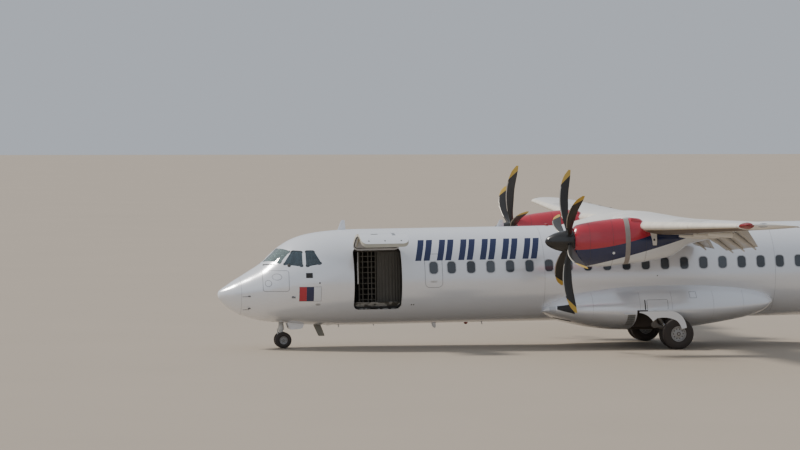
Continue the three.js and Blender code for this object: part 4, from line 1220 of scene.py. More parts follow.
class AIRLINER_OT_wing(bpy.types.Operator):
    """The fixed wing with its roof fairing, leading edge boots, a painted highlight line and a band of
    painted shade under the leading edge, and walkways
    """

    bl_idname = "airliner.wing"
    bl_label = "Wing"

    def execute(self, context):
        centre = Shape()
        for name, side in SIDES:
            centre.loft(whole_rings(WING, WING_BEND, 0.0, FLAP_INNER[1] - END_PLAY, side))
            centre.loft(hinged_gap(WING, WING_BEND, FLAP_INNER, 0.0, WING_BREAK, side))
            centre.loft(whole_rings(WING, WING_BEND, FLAP_INNER[2] + END_PLAY, WING_BREAK, side))
            outer = Shape()
            outer.loft(whole_rings(WING, WING_BEND, WING_BREAK + JOINT_GAP, FLAP_OUTER[1] - END_PLAY, side))
            outer.loft(hinged_gap(WING, WING_BEND, FLAP_OUTER, 0.0, FAR, side))
            outer.loft(whole_rings(WING, WING_BEND, FLAP_OUTER[2] + END_PLAY, AILERON[1] - END_PLAY, side))
            outer.loft(hinged_gap(WING, WING_BEND, AILERON, 0.0, FAR, side))
            tip = (AILERON[2] + END_PLAY, float(WING[-1, 0]))
            outer.loft(whole_rings(WING, WING_BEND, *tip, side, WING_ROUND))
            piece(f"wing_skin_{name}", outer.mesh(), [cream_paint()], slot="white_paint",
                  replaces=[f"wing_outer_{name}"])
            self.add_boots(name, side)
        piece("wing_centre_skin", centre.mesh(), [cream_paint()], slot="white_paint",
              replaces=["wing_centre"])
        roof = Shape().loft(egg_rings(ROOF_FAIRING, all_stations(ROOF_FAIRING, 0.06), 96)).mesh()
        skin_shading(roof, ROOF_FAIRING)
        piece("roof_fairing_skin", roof, [cream_paint()], slot="white_composite", replaces=["wing_fairing"])
        return {"FINISHED"}

    def add_boots(self, name, side):
        """Boots, a painted highlight line and a band of painted shade under the leading edge, and the
        walkway
        """
        # Stretches of the leading edge, each with a boot, a painted highlight line below it and a band of
        # painted shade under it
        boots, lines, film = Shape(), Shape(), Shape()
        for y0, y1 in ((1.15, 3.5), (4.6, 8.9), (8.92, 13.15)):
            boots.loft(band_rings(WING, WING_BEND, y0, y1, side, 0.045, 0.018, 0.0045))
            lines.loft(band_rings(WING, WING_BEND, y0, y1, side, 0.0005, 0.027, 0.003))
            film.loft(band_rings(WING, WING_BEND, y0, y1, side, 0.0005, 0.28, 0.0015))
        piece(f"boots_{name}", boots.mesh(), [boot_rubber()], slot="black_composite")
        # The gold line is a painted highlight
        piece(f"boot_edges_{name}", lines.mesh(), [bright_edge()], slot="engine_metal")
        # Dark brown under the leading edge: painted shade
        piece(f"wing_underside_{name}", film.mesh(), [plain("under_film", (0.12, 0.085, 0.06, 1), 0.6)],
              slot="white_paint")

        def panel(chord, thick):
            steps = np.linspace(0.07, 0.24, 8)
            return np.concatenate([foil_face(chord, thick, steps, 1, 0.0015, WING_BEND[1]),
                                   foil_face(chord, thick, steps[::-1], 1, -0.002, WING_BEND[1])])

        grip = Shape().loft(span_rings(WING, WING_BEND, 6.7, 9.6, side, panel))
        piece(f"wing_walkway_{name}", grip.mesh(), [plain("walkway_grey", (0.5, 0.5, 0.49, 1), 0.7)],
              slot="white_paint")


class AIRLINER_OT_flaps(bpy.types.Operator):
    """Flaps, ailerons and elevators, each with a round nose about its hinge"""

    bl_idname = "airliner.flaps"
    bl_label = "Flaps, ailerons and elevators"

    def execute(self, context):
        for name, side in SIDES:
            for part in (FLAP_INNER, FLAP_OUTER, AILERON):
                mesh = hinged_mesh(WING, WING_BEND, part, side)
                body = f"{part[0]}_{name}"
                piece(f"{body}_skin", mesh, [flap_paint()], body, "white_paint", [body],
                      move=None if part is AILERON else lowered(body))
            mesh = hinged_mesh(TAILPLANE, TAIL_BEND, ELEVATOR, side)
            piece(f"elevator_{name}_skin", mesh, [tail_paint()], f"elevator_{name}", "tail_colour",
                  [f"elevator_{name}"])
        return {"FINISHED"}


# Nacelles and propellers

PROP = {"x": 9.14, "y": 4.05, "z": 3.13, "hub": 0.3, "blades": 6}
PROP_PHASE = {"left": 10.0, "right": -11.0}
INTAKE = {"half": 0.19, "low": 2.58, "high": 2.69, "end": 9.6}
# Blade sections: radius, chord, thickness, set back, twist from feather in degrees
BLADE = np.array([
    (0.24, 0.11, 0.11, 0.0, 0),
    (0.42, 0.13, 0.085, -0.04, 14),
    (0.7, 0.2, 0.045, -0.088, 10),
    (1.05, 0.248, 0.03, -0.102, 5),
    (1.35, 0.248, 0.022, -0.08, 2),
    (1.6, 0.225, 0.016, -0.028, -1),
    (1.8, 0.175, 0.011, 0.03, -4),
    (1.965, 0.06, 0.006, 0.11, -6),
])
# Gold beyond this radius at the disc, slanting in toward the leading edge
BLADE_MARK = {"radius": 1.7, "slant": 0.95, "edge": 1.5}


def nacelle_paint():
    """Red over navy over white, parted by two rising curves"""
    def chosen(tree, axes):
        shown = tuple(colours().white)
        # Curves: colour above, station where it starts, height there, slope and bend
        for colour, start, height, slope, curve in (
            (colours().navy, 9.65, 2.46, 0.2162, 0.0185),
            (colours().red, 9.27, 2.9, 0.0172, 0.078),
        ):
            aft = sums(tree, "SUBTRACT", axes["X"], start)
            rise = sums(tree, "MULTIPLY", aft, sums(tree, "MULTIPLY_ADD", aft, curve, slope))
            over = sums(tree, "SUBTRACT", axes["Z"], sums(tree, "ADD", rise, height))
            shown = blend(tree, fade(tree, over, 0.002, -0.002), shown, tuple(colour))
        return shown

    return paint("nacelle_paint", colours().red, dust=0.12, low=2.2, high=3.4, rough=0.24, coat=0.5,
                 joints=False, chosen=chosen)


def blade_finish():
    """Near-black blades with a gold tip beyond a radius"""
    if "blade_finish" in bpy.data.materials:
        return bpy.data.materials["blade_finish"]
    material, tree, shader = new_material("blade_finish", 0.4, coat=0.15)
    axes = body_axes(tree)
    across = sums(tree, "SUBTRACT", sums(tree, "ABSOLUTE", axes["Y"]), PROP["y"])
    above = sums(tree, "SUBTRACT", axes["Z"], PROP["z"])
    reach_out = sums(tree, "SQRT", sums(tree, "MULTIPLY_ADD", across, across,
                                        sums(tree, "MULTIPLY", above, above)))
    aft = sums(tree, "MULTIPLY", sums(tree, "SUBTRACT", axes["X"], PROP["x"]), BLADE_MARK["slant"])
    start = BLADE_MARK["radius"]
    gold = fade(tree, sums(tree, "SUBTRACT", reach_out, aft), start, start - 0.004)
    cloud = noise(tree, axes["Place"], 14.0, 5.0)
    dark = blend(tree, cloud, (0.012, 0.011, 0.01, 1), (0.03, 0.027, 0.024, 1))
    link(tree, blend(tree, gold, dark, (0.55, 0.36, 0.06, 1)), shader.inputs["Base Color"])
    link(tree, sums(tree, "MULTIPLY_ADD", cloud, 0.25, 0.25), shader.inputs["Roughness"])
    return material


def prop_turn(name, side):
    """Placement of a propeller drawn about its own axis"""
    phase = math.radians(-PROP_PHASE[name])
    return Matrix.Translation((PROP["x"], side * PROP["y"], PROP["z"])) @ Matrix.Rotation(phase, 4, "X")


def blade_ring(radius, outline):
    """A blade's section at a radius, turned by its twist"""
    chord, thick, back, twist = map(float, columns_at(BLADE, radius))
    flat = outline(chord, thick)
    turn = math.radians(twist)
    across = flat[:, 0] - chord * 0.45
    x = across * math.cos(turn) - flat[:, 1] * math.sin(turn) + back
    y = across * math.sin(turn) + flat[:, 1] * math.cos(turn)
    return np.stack([x, y, np.full(len(x), radius)], -1)


class AIRLINER_OT_propellers(bpy.types.Operator):
    """Six curved blades with bright leading edges, on a hub behind a spinner"""

    bl_idname = "airliner.propellers"
    bl_label = "Propellers"

    def execute(self, context):
        blade = Shape()
        blade.loft([blade_ring(r, foil_outline) for r in np.linspace(BLADE[0, 0], BLADE[-1, 0], 44)])
        blade.loft([blade_ring(r, lambda c, t: foil_band(c, t, 0.09, 0.09, 0.0006))
                    for r in np.linspace(0.62, BLADE_MARK["edge"], 30)], 1)
        blade.lathe([(0.2, 0.075), (0.29, 0.078), (0.33, 0.07), (0.34, 0.0)], (0, 0, 0), (0, 0, 1), 32, 2)
        spinner_rows = [(-0.66, 0), (-0.656, 0.03), (-0.63, 0.078), (-0.59, 0.118), (-0.54, 0.153),
                        (-0.46, 0.195), (-0.38, 0.229), (-0.28, 0.259), (-0.18, 0.281),
                        (-0.0803, 0.295), (-0.0803, 0)]
        hub_rows = [(-0.08, 0), (-0.08, 0.295), (0.01, 0.2985), (0.088, 0.3), (0.1, 0.292), (0.1, 0)]
        edge = plain("blade_edge", (0.5, 0.46, 0.4, 1), 0.38, metal=0.8)
        finishes = [blade_finish(), edge, spinner_paint()]
        for name, side in SIDES:
            rotor = Shape().lathe(hub_rows, (0, 0, 0), (1, 0, 0), 96, 2)
            for k in range(PROP["blades"]):
                since = len(rotor.points)
                rotor.join(blade).moved(Matrix.Rotation(2 * math.pi * k / PROP["blades"], 4, "X"), since)
            piece(f"propeller_{name}_blades", rotor.mesh(), finishes, f"propeller_{name}", "black_composite",
                  [f"propeller_{name}"], move=prop_turn(name, side))
            spinner = Shape().lathe(spinner_rows, (0, 0, 0), (1, 0, 0), 96)
            piece(f"spinner_{name}_shell", spinner.mesh(), [spinner_paint()], f"propeller_{name}",
                  "black_composite", [f"spinner_{name}"], move=prop_turn(name, side))
        return {"FINISHED"}


def spinner_paint():
    return plain("spinner_paint", (0.014, 0.013, 0.013, 1), 0.3, coat=0.4, depth=0.05)


def intake_outline(grow=0.0):
    """The smile-shaped mouth of a chin intake, about its middle"""
    height = INTAKE["high"] - INTAKE["low"] + 2 * grow
    flat = rounded(2 * INTAKE["half"] + 2 * grow, height, 0.5 * height - 0.001, 8)
    return [(y, z + 0.045 * (y / INTAKE["half"]) ** 2) for y, z in flat]


class AIRLINER_OT_nacelles(bpy.types.Operator):
    """Cowls in their livery, each with a chin intake"""

    bl_idname = "airliner.nacelles"
    bl_label = "Nacelles"

    def execute(self, context):
        duct = plain("duct_dark", (0.02, 0.02, 0.02, 1), 0.6)
        for name, side in SIDES:
            y = side * PROP["y"]
            # A rounded front lip ahead of the sections
            rings = []
            for x, grow in ((9.282, -0.05), (9.266, -0.034), (9.26, -0.016), (9.266, -0.004)):
                rings += egg_rings(NACELLE, [x], 96, grow, y)
            rings += egg_rings(NACELLE, steps_between(9.28, NACELLE[-1, 0], 0.05), 96, 0.0, y)
            middle = (INTAKE["low"] + INTAKE["high"]) / 2
            mouth = [(0.0, y + a, middle + b) for a, b in intake_outline()]
            throat = Shape().prism(mouth, (9.0, 0, 0), (INTAKE["end"], 0, 0), 1)
            cowl = carved(Shape().loft(rings).mesh(), throat.mesh())
            skin_shading(cowl, NACELLE, y)
            piece(f"nacelle_{name}_cowl", cowl, [nacelle_paint(), duct], slot="engine_cowl",
                  replaces=[f"nacelle_{name}"])
        return {"FINISHED"}


# Belly fairing

# keel: height below which the belly between the wells is painted dark as shade
WELL = {"x0": 11.5, "cave": 12.48, "mouth": 12.36, "inner": 1.25, "depth": 1.765, "side": 2.5, "low": 0.3,
        "roof": 1.405, "lip": 1.09, "arch": 0.49, "keel": 0.75}


class AIRLINER_OT_gear_fairing(bpy.types.Operator):
    """The belly fairing with its wheel wells"""

    bl_idname = "airliner.gear_fairing"
    bl_label = "Belly fairing"

    def execute(self, context):
        fairing = Shape().loft(egg_rings(GEAR_FAIRING, all_stations(GEAR_FAIRING, 0.06), 128)).mesh()
        # The straight hull past both ends of the fairing
        inside = Shape().loft(egg_rings(FUSELAGE, [8.5, 16.0], 144, -0.02)).mesh()
        fairing = carved(fairing, inside)
        for _, side in SIDES:
            inner, outer = side * WELL["inner"], side * WELL["side"]
            cave = Shape().box(WELL["x0"], WELL["cave"], inner, side * WELL["depth"],
                               WELL["low"], WELL["roof"], 1).mesh()
            # A little past the cave's own walls, so that no two cut faces share a plane
            near = inner + side * 0.001
            mouth = Shape().box(WELL["x0"] + 0.001, WELL["mouth"], near, outer, WELL["low"] - 0.1,
                                WELL["lip"], 1).mesh()
            near += side * 0.001
            arch = Shape().tube((MAIN_AXLE.x, near, MAIN_AXLE.z),
                                (MAIN_AXLE.x, outer + side * 0.1, MAIN_AXLE.z),
                                WELL["arch"], sides=96, look=1).mesh()
            for cutter in (cave, mouth, arch):
                fairing = carved(fairing, cutter)
        # Faces of the belly keel between the wells take the dark lining: painted shade under the belly
        for face in fairing.polygons:
            x, y, z = face.center
            if WELL["x0"] < x < MAIN_AXLE.x + WELL["arch"] and abs(y) <= WELL["inner"] and z < WELL["keel"]:
                face.material_index = 1
        skin_shading(fairing, GEAR_FAIRING)
        piece("gear_fairing_skin", fairing, [white_paint(), well_lining()], slot="white_composite",
              replaces=["gear_fairing"])
        return {"FINISHED"}


# Tail

# Fin rows: height, leading and trailing edge stations, thickness
FIN = np.array([
    (2.9, 20.6, 25.78, 0.25),
    (3.33, 19.0, 25.905, 0.16),
    (3.45, 19.25, 25.94, 0.2),
    (3.89, 20.88, 26.07, 0.28),
    (4.21, 21.85, 26.165, 0.3),
    (4.84, 22.89, 26.35, 0.31),
    (5.69, 23.99, 26.6, 0.31),
    (6.5, 24.53, 26.84, 0.28),
    (7.13, 24.94, 27.03, 0.25),
    (7.33, 25.25, 27.1, 0.19),
    (7.445, 25.9, 27.06, 0.06),
])
RUDDER = {"z0": 3.165, "z1": 6.39, "x0": 24.725, "slope": 0.365}
LIVERY_SPLIT = 4.75


def tail_paint():
    """Red above navy"""
    def chosen(tree, axes):
        upper = fade(tree, axes["Z"], LIVERY_SPLIT + 0.003, LIVERY_SPLIT - 0.003)
        return blend(tree, upper, tuple(colours().navy), tuple(colours().red))

    return paint("tail_paint", colours().red, dust=0.1, low=3.0, high=5.0, rough=0.26, coat=0.5,
                 joints=False, chosen=chosen)


def fin_ring(z, part):
    """The fin's section at a height: whole, ahead of the rudder's hinge or behind it"""
    front, back, thick = map(float, columns_at(FIN, z))
    hinge = (RUDDER["x0"] + (z - RUDDER["z0"]) * RUDDER["slope"] - front) / (back - front)
    flat = foil_outline(back - front, thick, part, hinge)
    return np.stack([front + flat[:, 0], flat[:, 1], np.full(len(flat), z)], -1)


class AIRLINER_OT_tail(bpy.types.Operator):
    """Fin, rudder and tailplane"""

    bl_idname = "airliner.tail"
    bl_label = "Tail"

    def execute(self, context):
        top = RUDDER["z1"] + END_PLAY
        fin = Shape().loft([fin_ring(z, "ahead") for z in steps_between(FIN[0, 0], top, 0.06)])
        fin.loft([fin_ring(z, "whole") for z in steps_between(top, FIN[-1, 0], 0.03)])
        piece("fin_skin", fin.mesh(), [tail_paint()], slot="tail_colour", replaces=["fin"])
        heights = steps_between(RUDDER["z0"], RUDDER["z1"], 0.08)
        rudder = Shape().loft([fin_ring(z, "behind") for z in heights])
        piece("rudder_skin", rudder.mesh(), [tail_paint()], "rudder", "tail_colour", ["rudder"])
        plane = Shape()
        for name, side in SIDES:
            plane.loft(whole_rings(TAILPLANE, TAIL_BEND, 0.0, ELEVATOR[1] - END_PLAY, side))
            plane.loft(hinged_gap(TAILPLANE, TAIL_BEND, ELEVATOR, 0.0, FAR, side))
            tip = (ELEVATOR[2] + END_PLAY, float(TAILPLANE[-1, 0]))
            plane.loft(whole_rings(TAILPLANE, TAIL_BEND, *tip, side, TAIL_ROUND))
            boots = Shape().loft(band_rings(TAILPLANE, TAIL_BEND, 0.2, 3.5, side, 0.06, 0.06, 0.002))
            piece(f"tailplane_boot_{name}", boots.mesh(), [bare_metal()], slot="engine_metal")
        piece("tailplane_skin", plane.mesh(), [tail_paint()], slot="tail_colour", replaces=["tailplane"])
        return {"FINISHED"}


# Main gear

# Tyres: radius, half width, rim radius, distance from the axle's middle, and grooves across the tread
TYRE = {"radius": 0.432, "half": 0.127, "rim": 0.215, "spread": 0.21,
        "grooves": (-0.06, -0.021, 0.021, 0.06)}
SMALL_TYRE = {"radius": 0.225, "half": 0.09, "rim": 0.112, "spread": 0.15,
              "grooves": (-0.034, 0.0, 0.034)}
GEAR_Y = 2.05
LEG_X = 11.96
# The ground under the nose wheels is higher in body axes, since the nose is down
NOSE_AXLE_Z = (MAIN_AXLE_X - NOSE_AXLE_X) * math.tan(NOSE_DOWN) + SMALL_TYRE["radius"]
NOSE_AXLE = Vector((NOSE_AXLE_X, 0.0, NOSE_AXLE_Z))
NOSE_LEG_X = NOSE_AXLE.x - 0.04


def tyre_rubber():
    return plain("tyre_rubber", colours().tyre, 0.85, grain=60.0, depth=0.5, vary=0.35)


def gear_paint():
    return plain("gear_paint", (0.62, 0.62, 0.6, 1), 0.4, coat=0.1)


def leg_paint():
    return plain("leg_paint", (0.13, 0.115, 0.1, 1), 0.5, metal=0.3)


def wheel_paint():
    return plain("wheel_paint", (0.36, 0.355, 0.35, 1), 0.42, metal=0.3)


def chrome():
    return plain("chrome", (0.75, 0.76, 0.78, 1), 0.12, metal=1.0, vary=0.06, depth=0.05)


def dark_steel():
    return plain("dark_steel", (0.12, 0.11, 0.1, 1), 0.45, metal=0.8)


def black_hose():
    return plain("black_hose", (0.02, 0.02, 0.02, 1), 0.5)


def tyre_mesh(tyre, centre):
    """One tyre across y: round sidewalls, a flat tread and grooves round it"""
    radius, half, rim = tyre["radius"], tyre["half"], tyre["rim"]
    wall = []
    for k in range(13):
        t = k / 12
        bulge = math.sin(math.pi * (0.12 + 0.88 * t))
        wall.append((-half * (0.72 + 0.28 * bulge), rim + (radius * 0.985 - rim) * t))
    wall.append((-half * 0.6, radius * 0.998))
    tread = []
    for at in tyre["grooves"]:
        tread += [(at - 0.004, radius), (at - 0.0035, radius - 0.008), (at + 0.0035, radius - 0.008),
                  (at + 0.004, radius)]
    profile = [*wall, *tread, *((-a, r) for a, r in reversed(wall))]
    return Shape().hoop(profile, centre, (0, 1, 0), 96)


def wheel_mesh(tyre, bolts):
    """A wheel about the origin that faces +y: flanges, a dished web with holes, and a cap"""
    half, rim = tyre["half"], tyre["rim"]
    profile = [
        (-half * 0.78, 0), (-half * 0.78, rim * 0.9), (-half * 0.78, rim + 0.008), (-half * 0.7, rim + 0.01),
        (-half * 0.66, rim), (half * 0.66, rim), (half * 0.7, rim + 0.01), (half * 0.78, rim + 0.008),
        (half * 0.78, rim * 0.94), (half * 0.6, rim * 0.88), (half * 0.42, rim * 0.8),
        (half * 0.36, rim * 0.66), (half * 0.4, rim * 0.48), (half * 0.6, rim * 0.42),
        (half * 0.66, rim * 0.36), (half * 0.66, rim * 0.24), (half * 0.78, rim * 0.22),
        (half * 0.8, rim * 0.18), (half * 0.8, 0),
    ]
    wheel = Shape().lathe(profile, (0, 0, 0), (0, 1, 0), 72).mesh()
    holes = Shape()
    for k in range(bolts):
        angle = 2 * math.pi * k / bolts
        x, z = 0.64 * rim * math.cos(angle), 0.64 * rim * math.sin(angle)
        holes.tube((x, 0.1 * half, z), (x, half, z), rim * 0.085, sides=16, look=1)
    return carved(wheel, holes.mesh())


def bolt_mesh(radius):
    """A hexagon bolt head that faces up"""
    return Shape().lathe([(0, radius), (radius, radius), (radius * 1.1, radius * 0.8), (radius * 1.1, 0)],
                         (0, 0, 0), (0, 0, 1), 6).mesh()


def wheel_set(name, tyre, centre, body, rims_node, tyre_nodes, bolts, axle_radius):
    """Two wheels on one axle, with their bolts and tyres"""
    parts = [Shape().tube((0, -tyre["spread"], 0), (0, tyre["spread"], 0), axle_radius, sides=32).mesh()]
    places = []
    for _, side in SIDES:
        wheel = wheel_mesh(tyre, bolts)
        place = Matrix.Translation((0, side * tyre["spread"], 0))
        wheel.transform(place @ Matrix.Scale(side, 4, (0, 1, 0)))
        if side < 0:
            wheel.flip_normals()
        parts.append(wheel)
        face, rim = tyre["half"] * side, tyre["rim"]
        at = side * tyre["spread"]
        ring = [(at + 0.7 * face, 0.14 * rim), (at + 0.7 * face, 0.25 * rim), (at + 0.84 * face, 0.25 * rim),
                (at + 0.84 * face, 0.14 * rim)]
        parts.append(Shape().hoop(ring, (0, 0, 0), (0, 1, 0), 40, 1).mesh())
        for k in range(bolts):
            angle = 2 * math.pi * (k + 0.5) / bolts
            x, z = 0.86 * tyre["rim"] * math.cos(angle), 0.86 * tyre["rim"] * math.sin(angle)
            y = side * (tyre["spread"] + 0.53 * tyre["half"])
            places.append(((x, y, z), (0, side, 0), (1, 0, 0)))
    move = Matrix.Translation(centre)
    piece(f"{name}_hubs", merged(parts), [wheel_paint(), dark_steel()], body, "wheel_metal", [rims_node],
          move=move)
    bolts_made = copies(bolt_mesh(tyre["rim"] * 0.045), places, dark_steel())
    piece(f"{name}_bolts", bolts_made, [dark_steel()], body, "wheel_metal", move=move)
    for (_, side), node_name in zip(SIDES, tyre_nodes):
        made = tyre_mesh(tyre, (0, side * tyre["spread"], 0))
        piece(f"{node_name}_rubber", made.mesh(), [tyre_rubber()], body, "tyre_rubber", [node_name],
              move=move)


def merged(meshes):
    """One mesh from several, with their material numbers kept"""
    work = bmesh.new()
    for mesh in meshes:
        work.from_mesh(mesh)
    made = bpy.data.meshes.new("merged")
    work.to_mesh(made)
    work.free()
    return made


class AIRLINER_OT_main_gear(bpy.types.Operator):
    """Trailing arm legs with their dampers, brakes and hoses, twin wheels and fenders"""

    bl_idname = "airliner.main_gear"
    bl_label = "Main gear"

    def execute(self, context):
        for name, side in SIDES:
            axle = Vector((MAIN_AXLE.x, side * GEAR_Y, MAIN_AXLE.z))
            wheel_set(f"main_gear_{name}", TYRE, axle, f"main_wheels_{name}", f"main_wheels_{name}",
                      [f"main_tyre_{name}_left", f"main_tyre_{name}_right"], sizes().hub_bolts, 0.058)
            self.add_leg(name, side, axle)
            self.add_fender(name, side)
        return {"FINISHED"}

    def add_leg(self, name, side, axle):
        """A leg with its damper rod, brakes and hoses"""
        y = side * GEAR_Y
        root = side * 1.255
        leg = Shape()
        # Main beam and its brace, out from the fuselage
        leg.tube((12.025, root, 1.245), (11.97, y, 0.87), 0.078, 0.068, 32)
        leg.tube((12.40, root, 1.2), (12.01, y, 0.87), 0.04, 0.04, 24)
        # Upright housing, with the trailing arm's pivot across its foot
        leg.lathe([(0, 0), (0, 0.055), (0.02, 0.066), (0.3, 0.066), (0.33, 0.062), (0.39, 0.062),
                   (0.41, 0.05), (0.41, 0)], (LEG_X, y, 0.63), (0, 0, 1), 40)
        leg.tube((LEG_X, y - 0.055, 0.69), (LEG_X, y + 0.055, 0.69), 0.09, sides=40)
        leg.tube((LEG_X, y - 0.07, 0.69), (LEG_X, y + 0.07, 0.69), 0.045, sides=6)
        # Trailing arm, and the eye that holds the axle
        leg.tube((LEG_X, y, 0.69), axle - Vector((0.07, 0, -0.03)), 0.06, 0.05, 28)
        eye = [(-0.05, 0.062), (-0.05, 0.096), (-0.04, 0.102), (0.04, 0.102), (0.05, 0.096), (0.05, 0.062)]
        leg.hoop(eye, axle, (0, 1, 0), 48)
        # Damper foot and body, with a pin at each end
        leg.tube((12.33, y, 0.53), (12.21, y, 0.69), 0.03, sides=24)
        leg.tube((12.19, y, 0.717), (12.04, y, 0.92), 0.046, sides=28)
        leg.tube((12.05, y - 0.06, 0.93), (12.05, y + 0.06, 0.93), 0.035, sides=20)
        leg.tube((12.33, y - 0.06, 0.53), (12.33, y + 0.06, 0.53), 0.03, sides=20)
        piece(f"main_leg_{name}_frame", leg.mesh(), [leg_paint()], slot="gear_metal",
              replaces=[f"main_leg_{name}"])
        rod = Shape().tube((12.31, y, 0.557), (12.17, y, 0.744), 0.0335, sides=28)
        piece(f"damper_rod_{name}", rod.mesh(), [chrome()], slot="gear_metal")
        brakes = Shape()
        for _, way in SIDES:
            for k in range(4):
                at = y + way * (0.056 + 0.0145 * k)
                brakes.tube((axle.x, at, axle.z), (axle.x, at + way * 0.011, axle.z), 0.145, sides=48)
            brakes.tube((axle.x, y + way * 0.051, axle.z), (axle.x, y + way * 0.106, axle.z), 0.1, sides=32)
        shaft_room = Shape().tube((axle.x, y - 0.2, axle.z), (axle.x, y + 0.2, axle.z), 0.066, sides=32)
        piece(f"brakes_{name}", carved(brakes.mesh(), shaft_room.mesh()), [dark_steel()], slot="gear_metal")
        hoses = Shape()
        for shift in (-0.022, 0.022):
            path = [*bow((12.1, side * 1.3, 1.18 + shift), (12.02, y - side * 0.1, 0.98),
                          (12.06, y + shift, 0.83)),
                    *bow((12.08, y + shift, 0.8), (12.2, y + 2.2 * shift, 0.66),
                          (12.46, y + 2.4 * shift, 0.55))]
            hoses.pipe(path, 0.008, 10)
        piece(f"brake_hoses_{name}", hoses.mesh(), [black_hose()], slot="black_composite")

    def add_fender(self, name, side):
        """The curved fender outside the wheels, on its bracket"""
        # Aft over the top and down beside the wheel, then forward along the lower edge, round the leg
        edge = [Vector((11.46, 0, 1.078)), Vector((12.34, 0, 1.078))]
        edge += bow((12.34, 0, 1.078), (12.74, 0, 1.03), (12.795, 0, 0.6), 14)[1:]
        edge += bow((12.655, 0, 0.57), (12.59, 0, 0.79), (12.44, 0, 0.84), 10)
        edge += bow((12.44, 0, 0.84), (12.2, 0, 0.93), (11.96, 0, 0.885), 10)[1:]
        edge += bow((11.84, 0, 0.8), (11.7, 0, 1.01), (11.46, 0, 1.045), 12)
        fender = Shape().prism(edge, (0, side * 2.4, 0), (0, side * 2.412, 0))
        fender.box(11.93, 11.99, side * 2.402, side * (GEAR_Y + 0.062), 0.962, 1.018)
        fender.box(11.935, 11.985, side * 2.36, side * 2.402, 0.93, 1.05)
        piece(f"fender_{name}_panel", fender.mesh(), [white_paint()], slot="white_paint",
              replaces=[f"fender_{name}"])


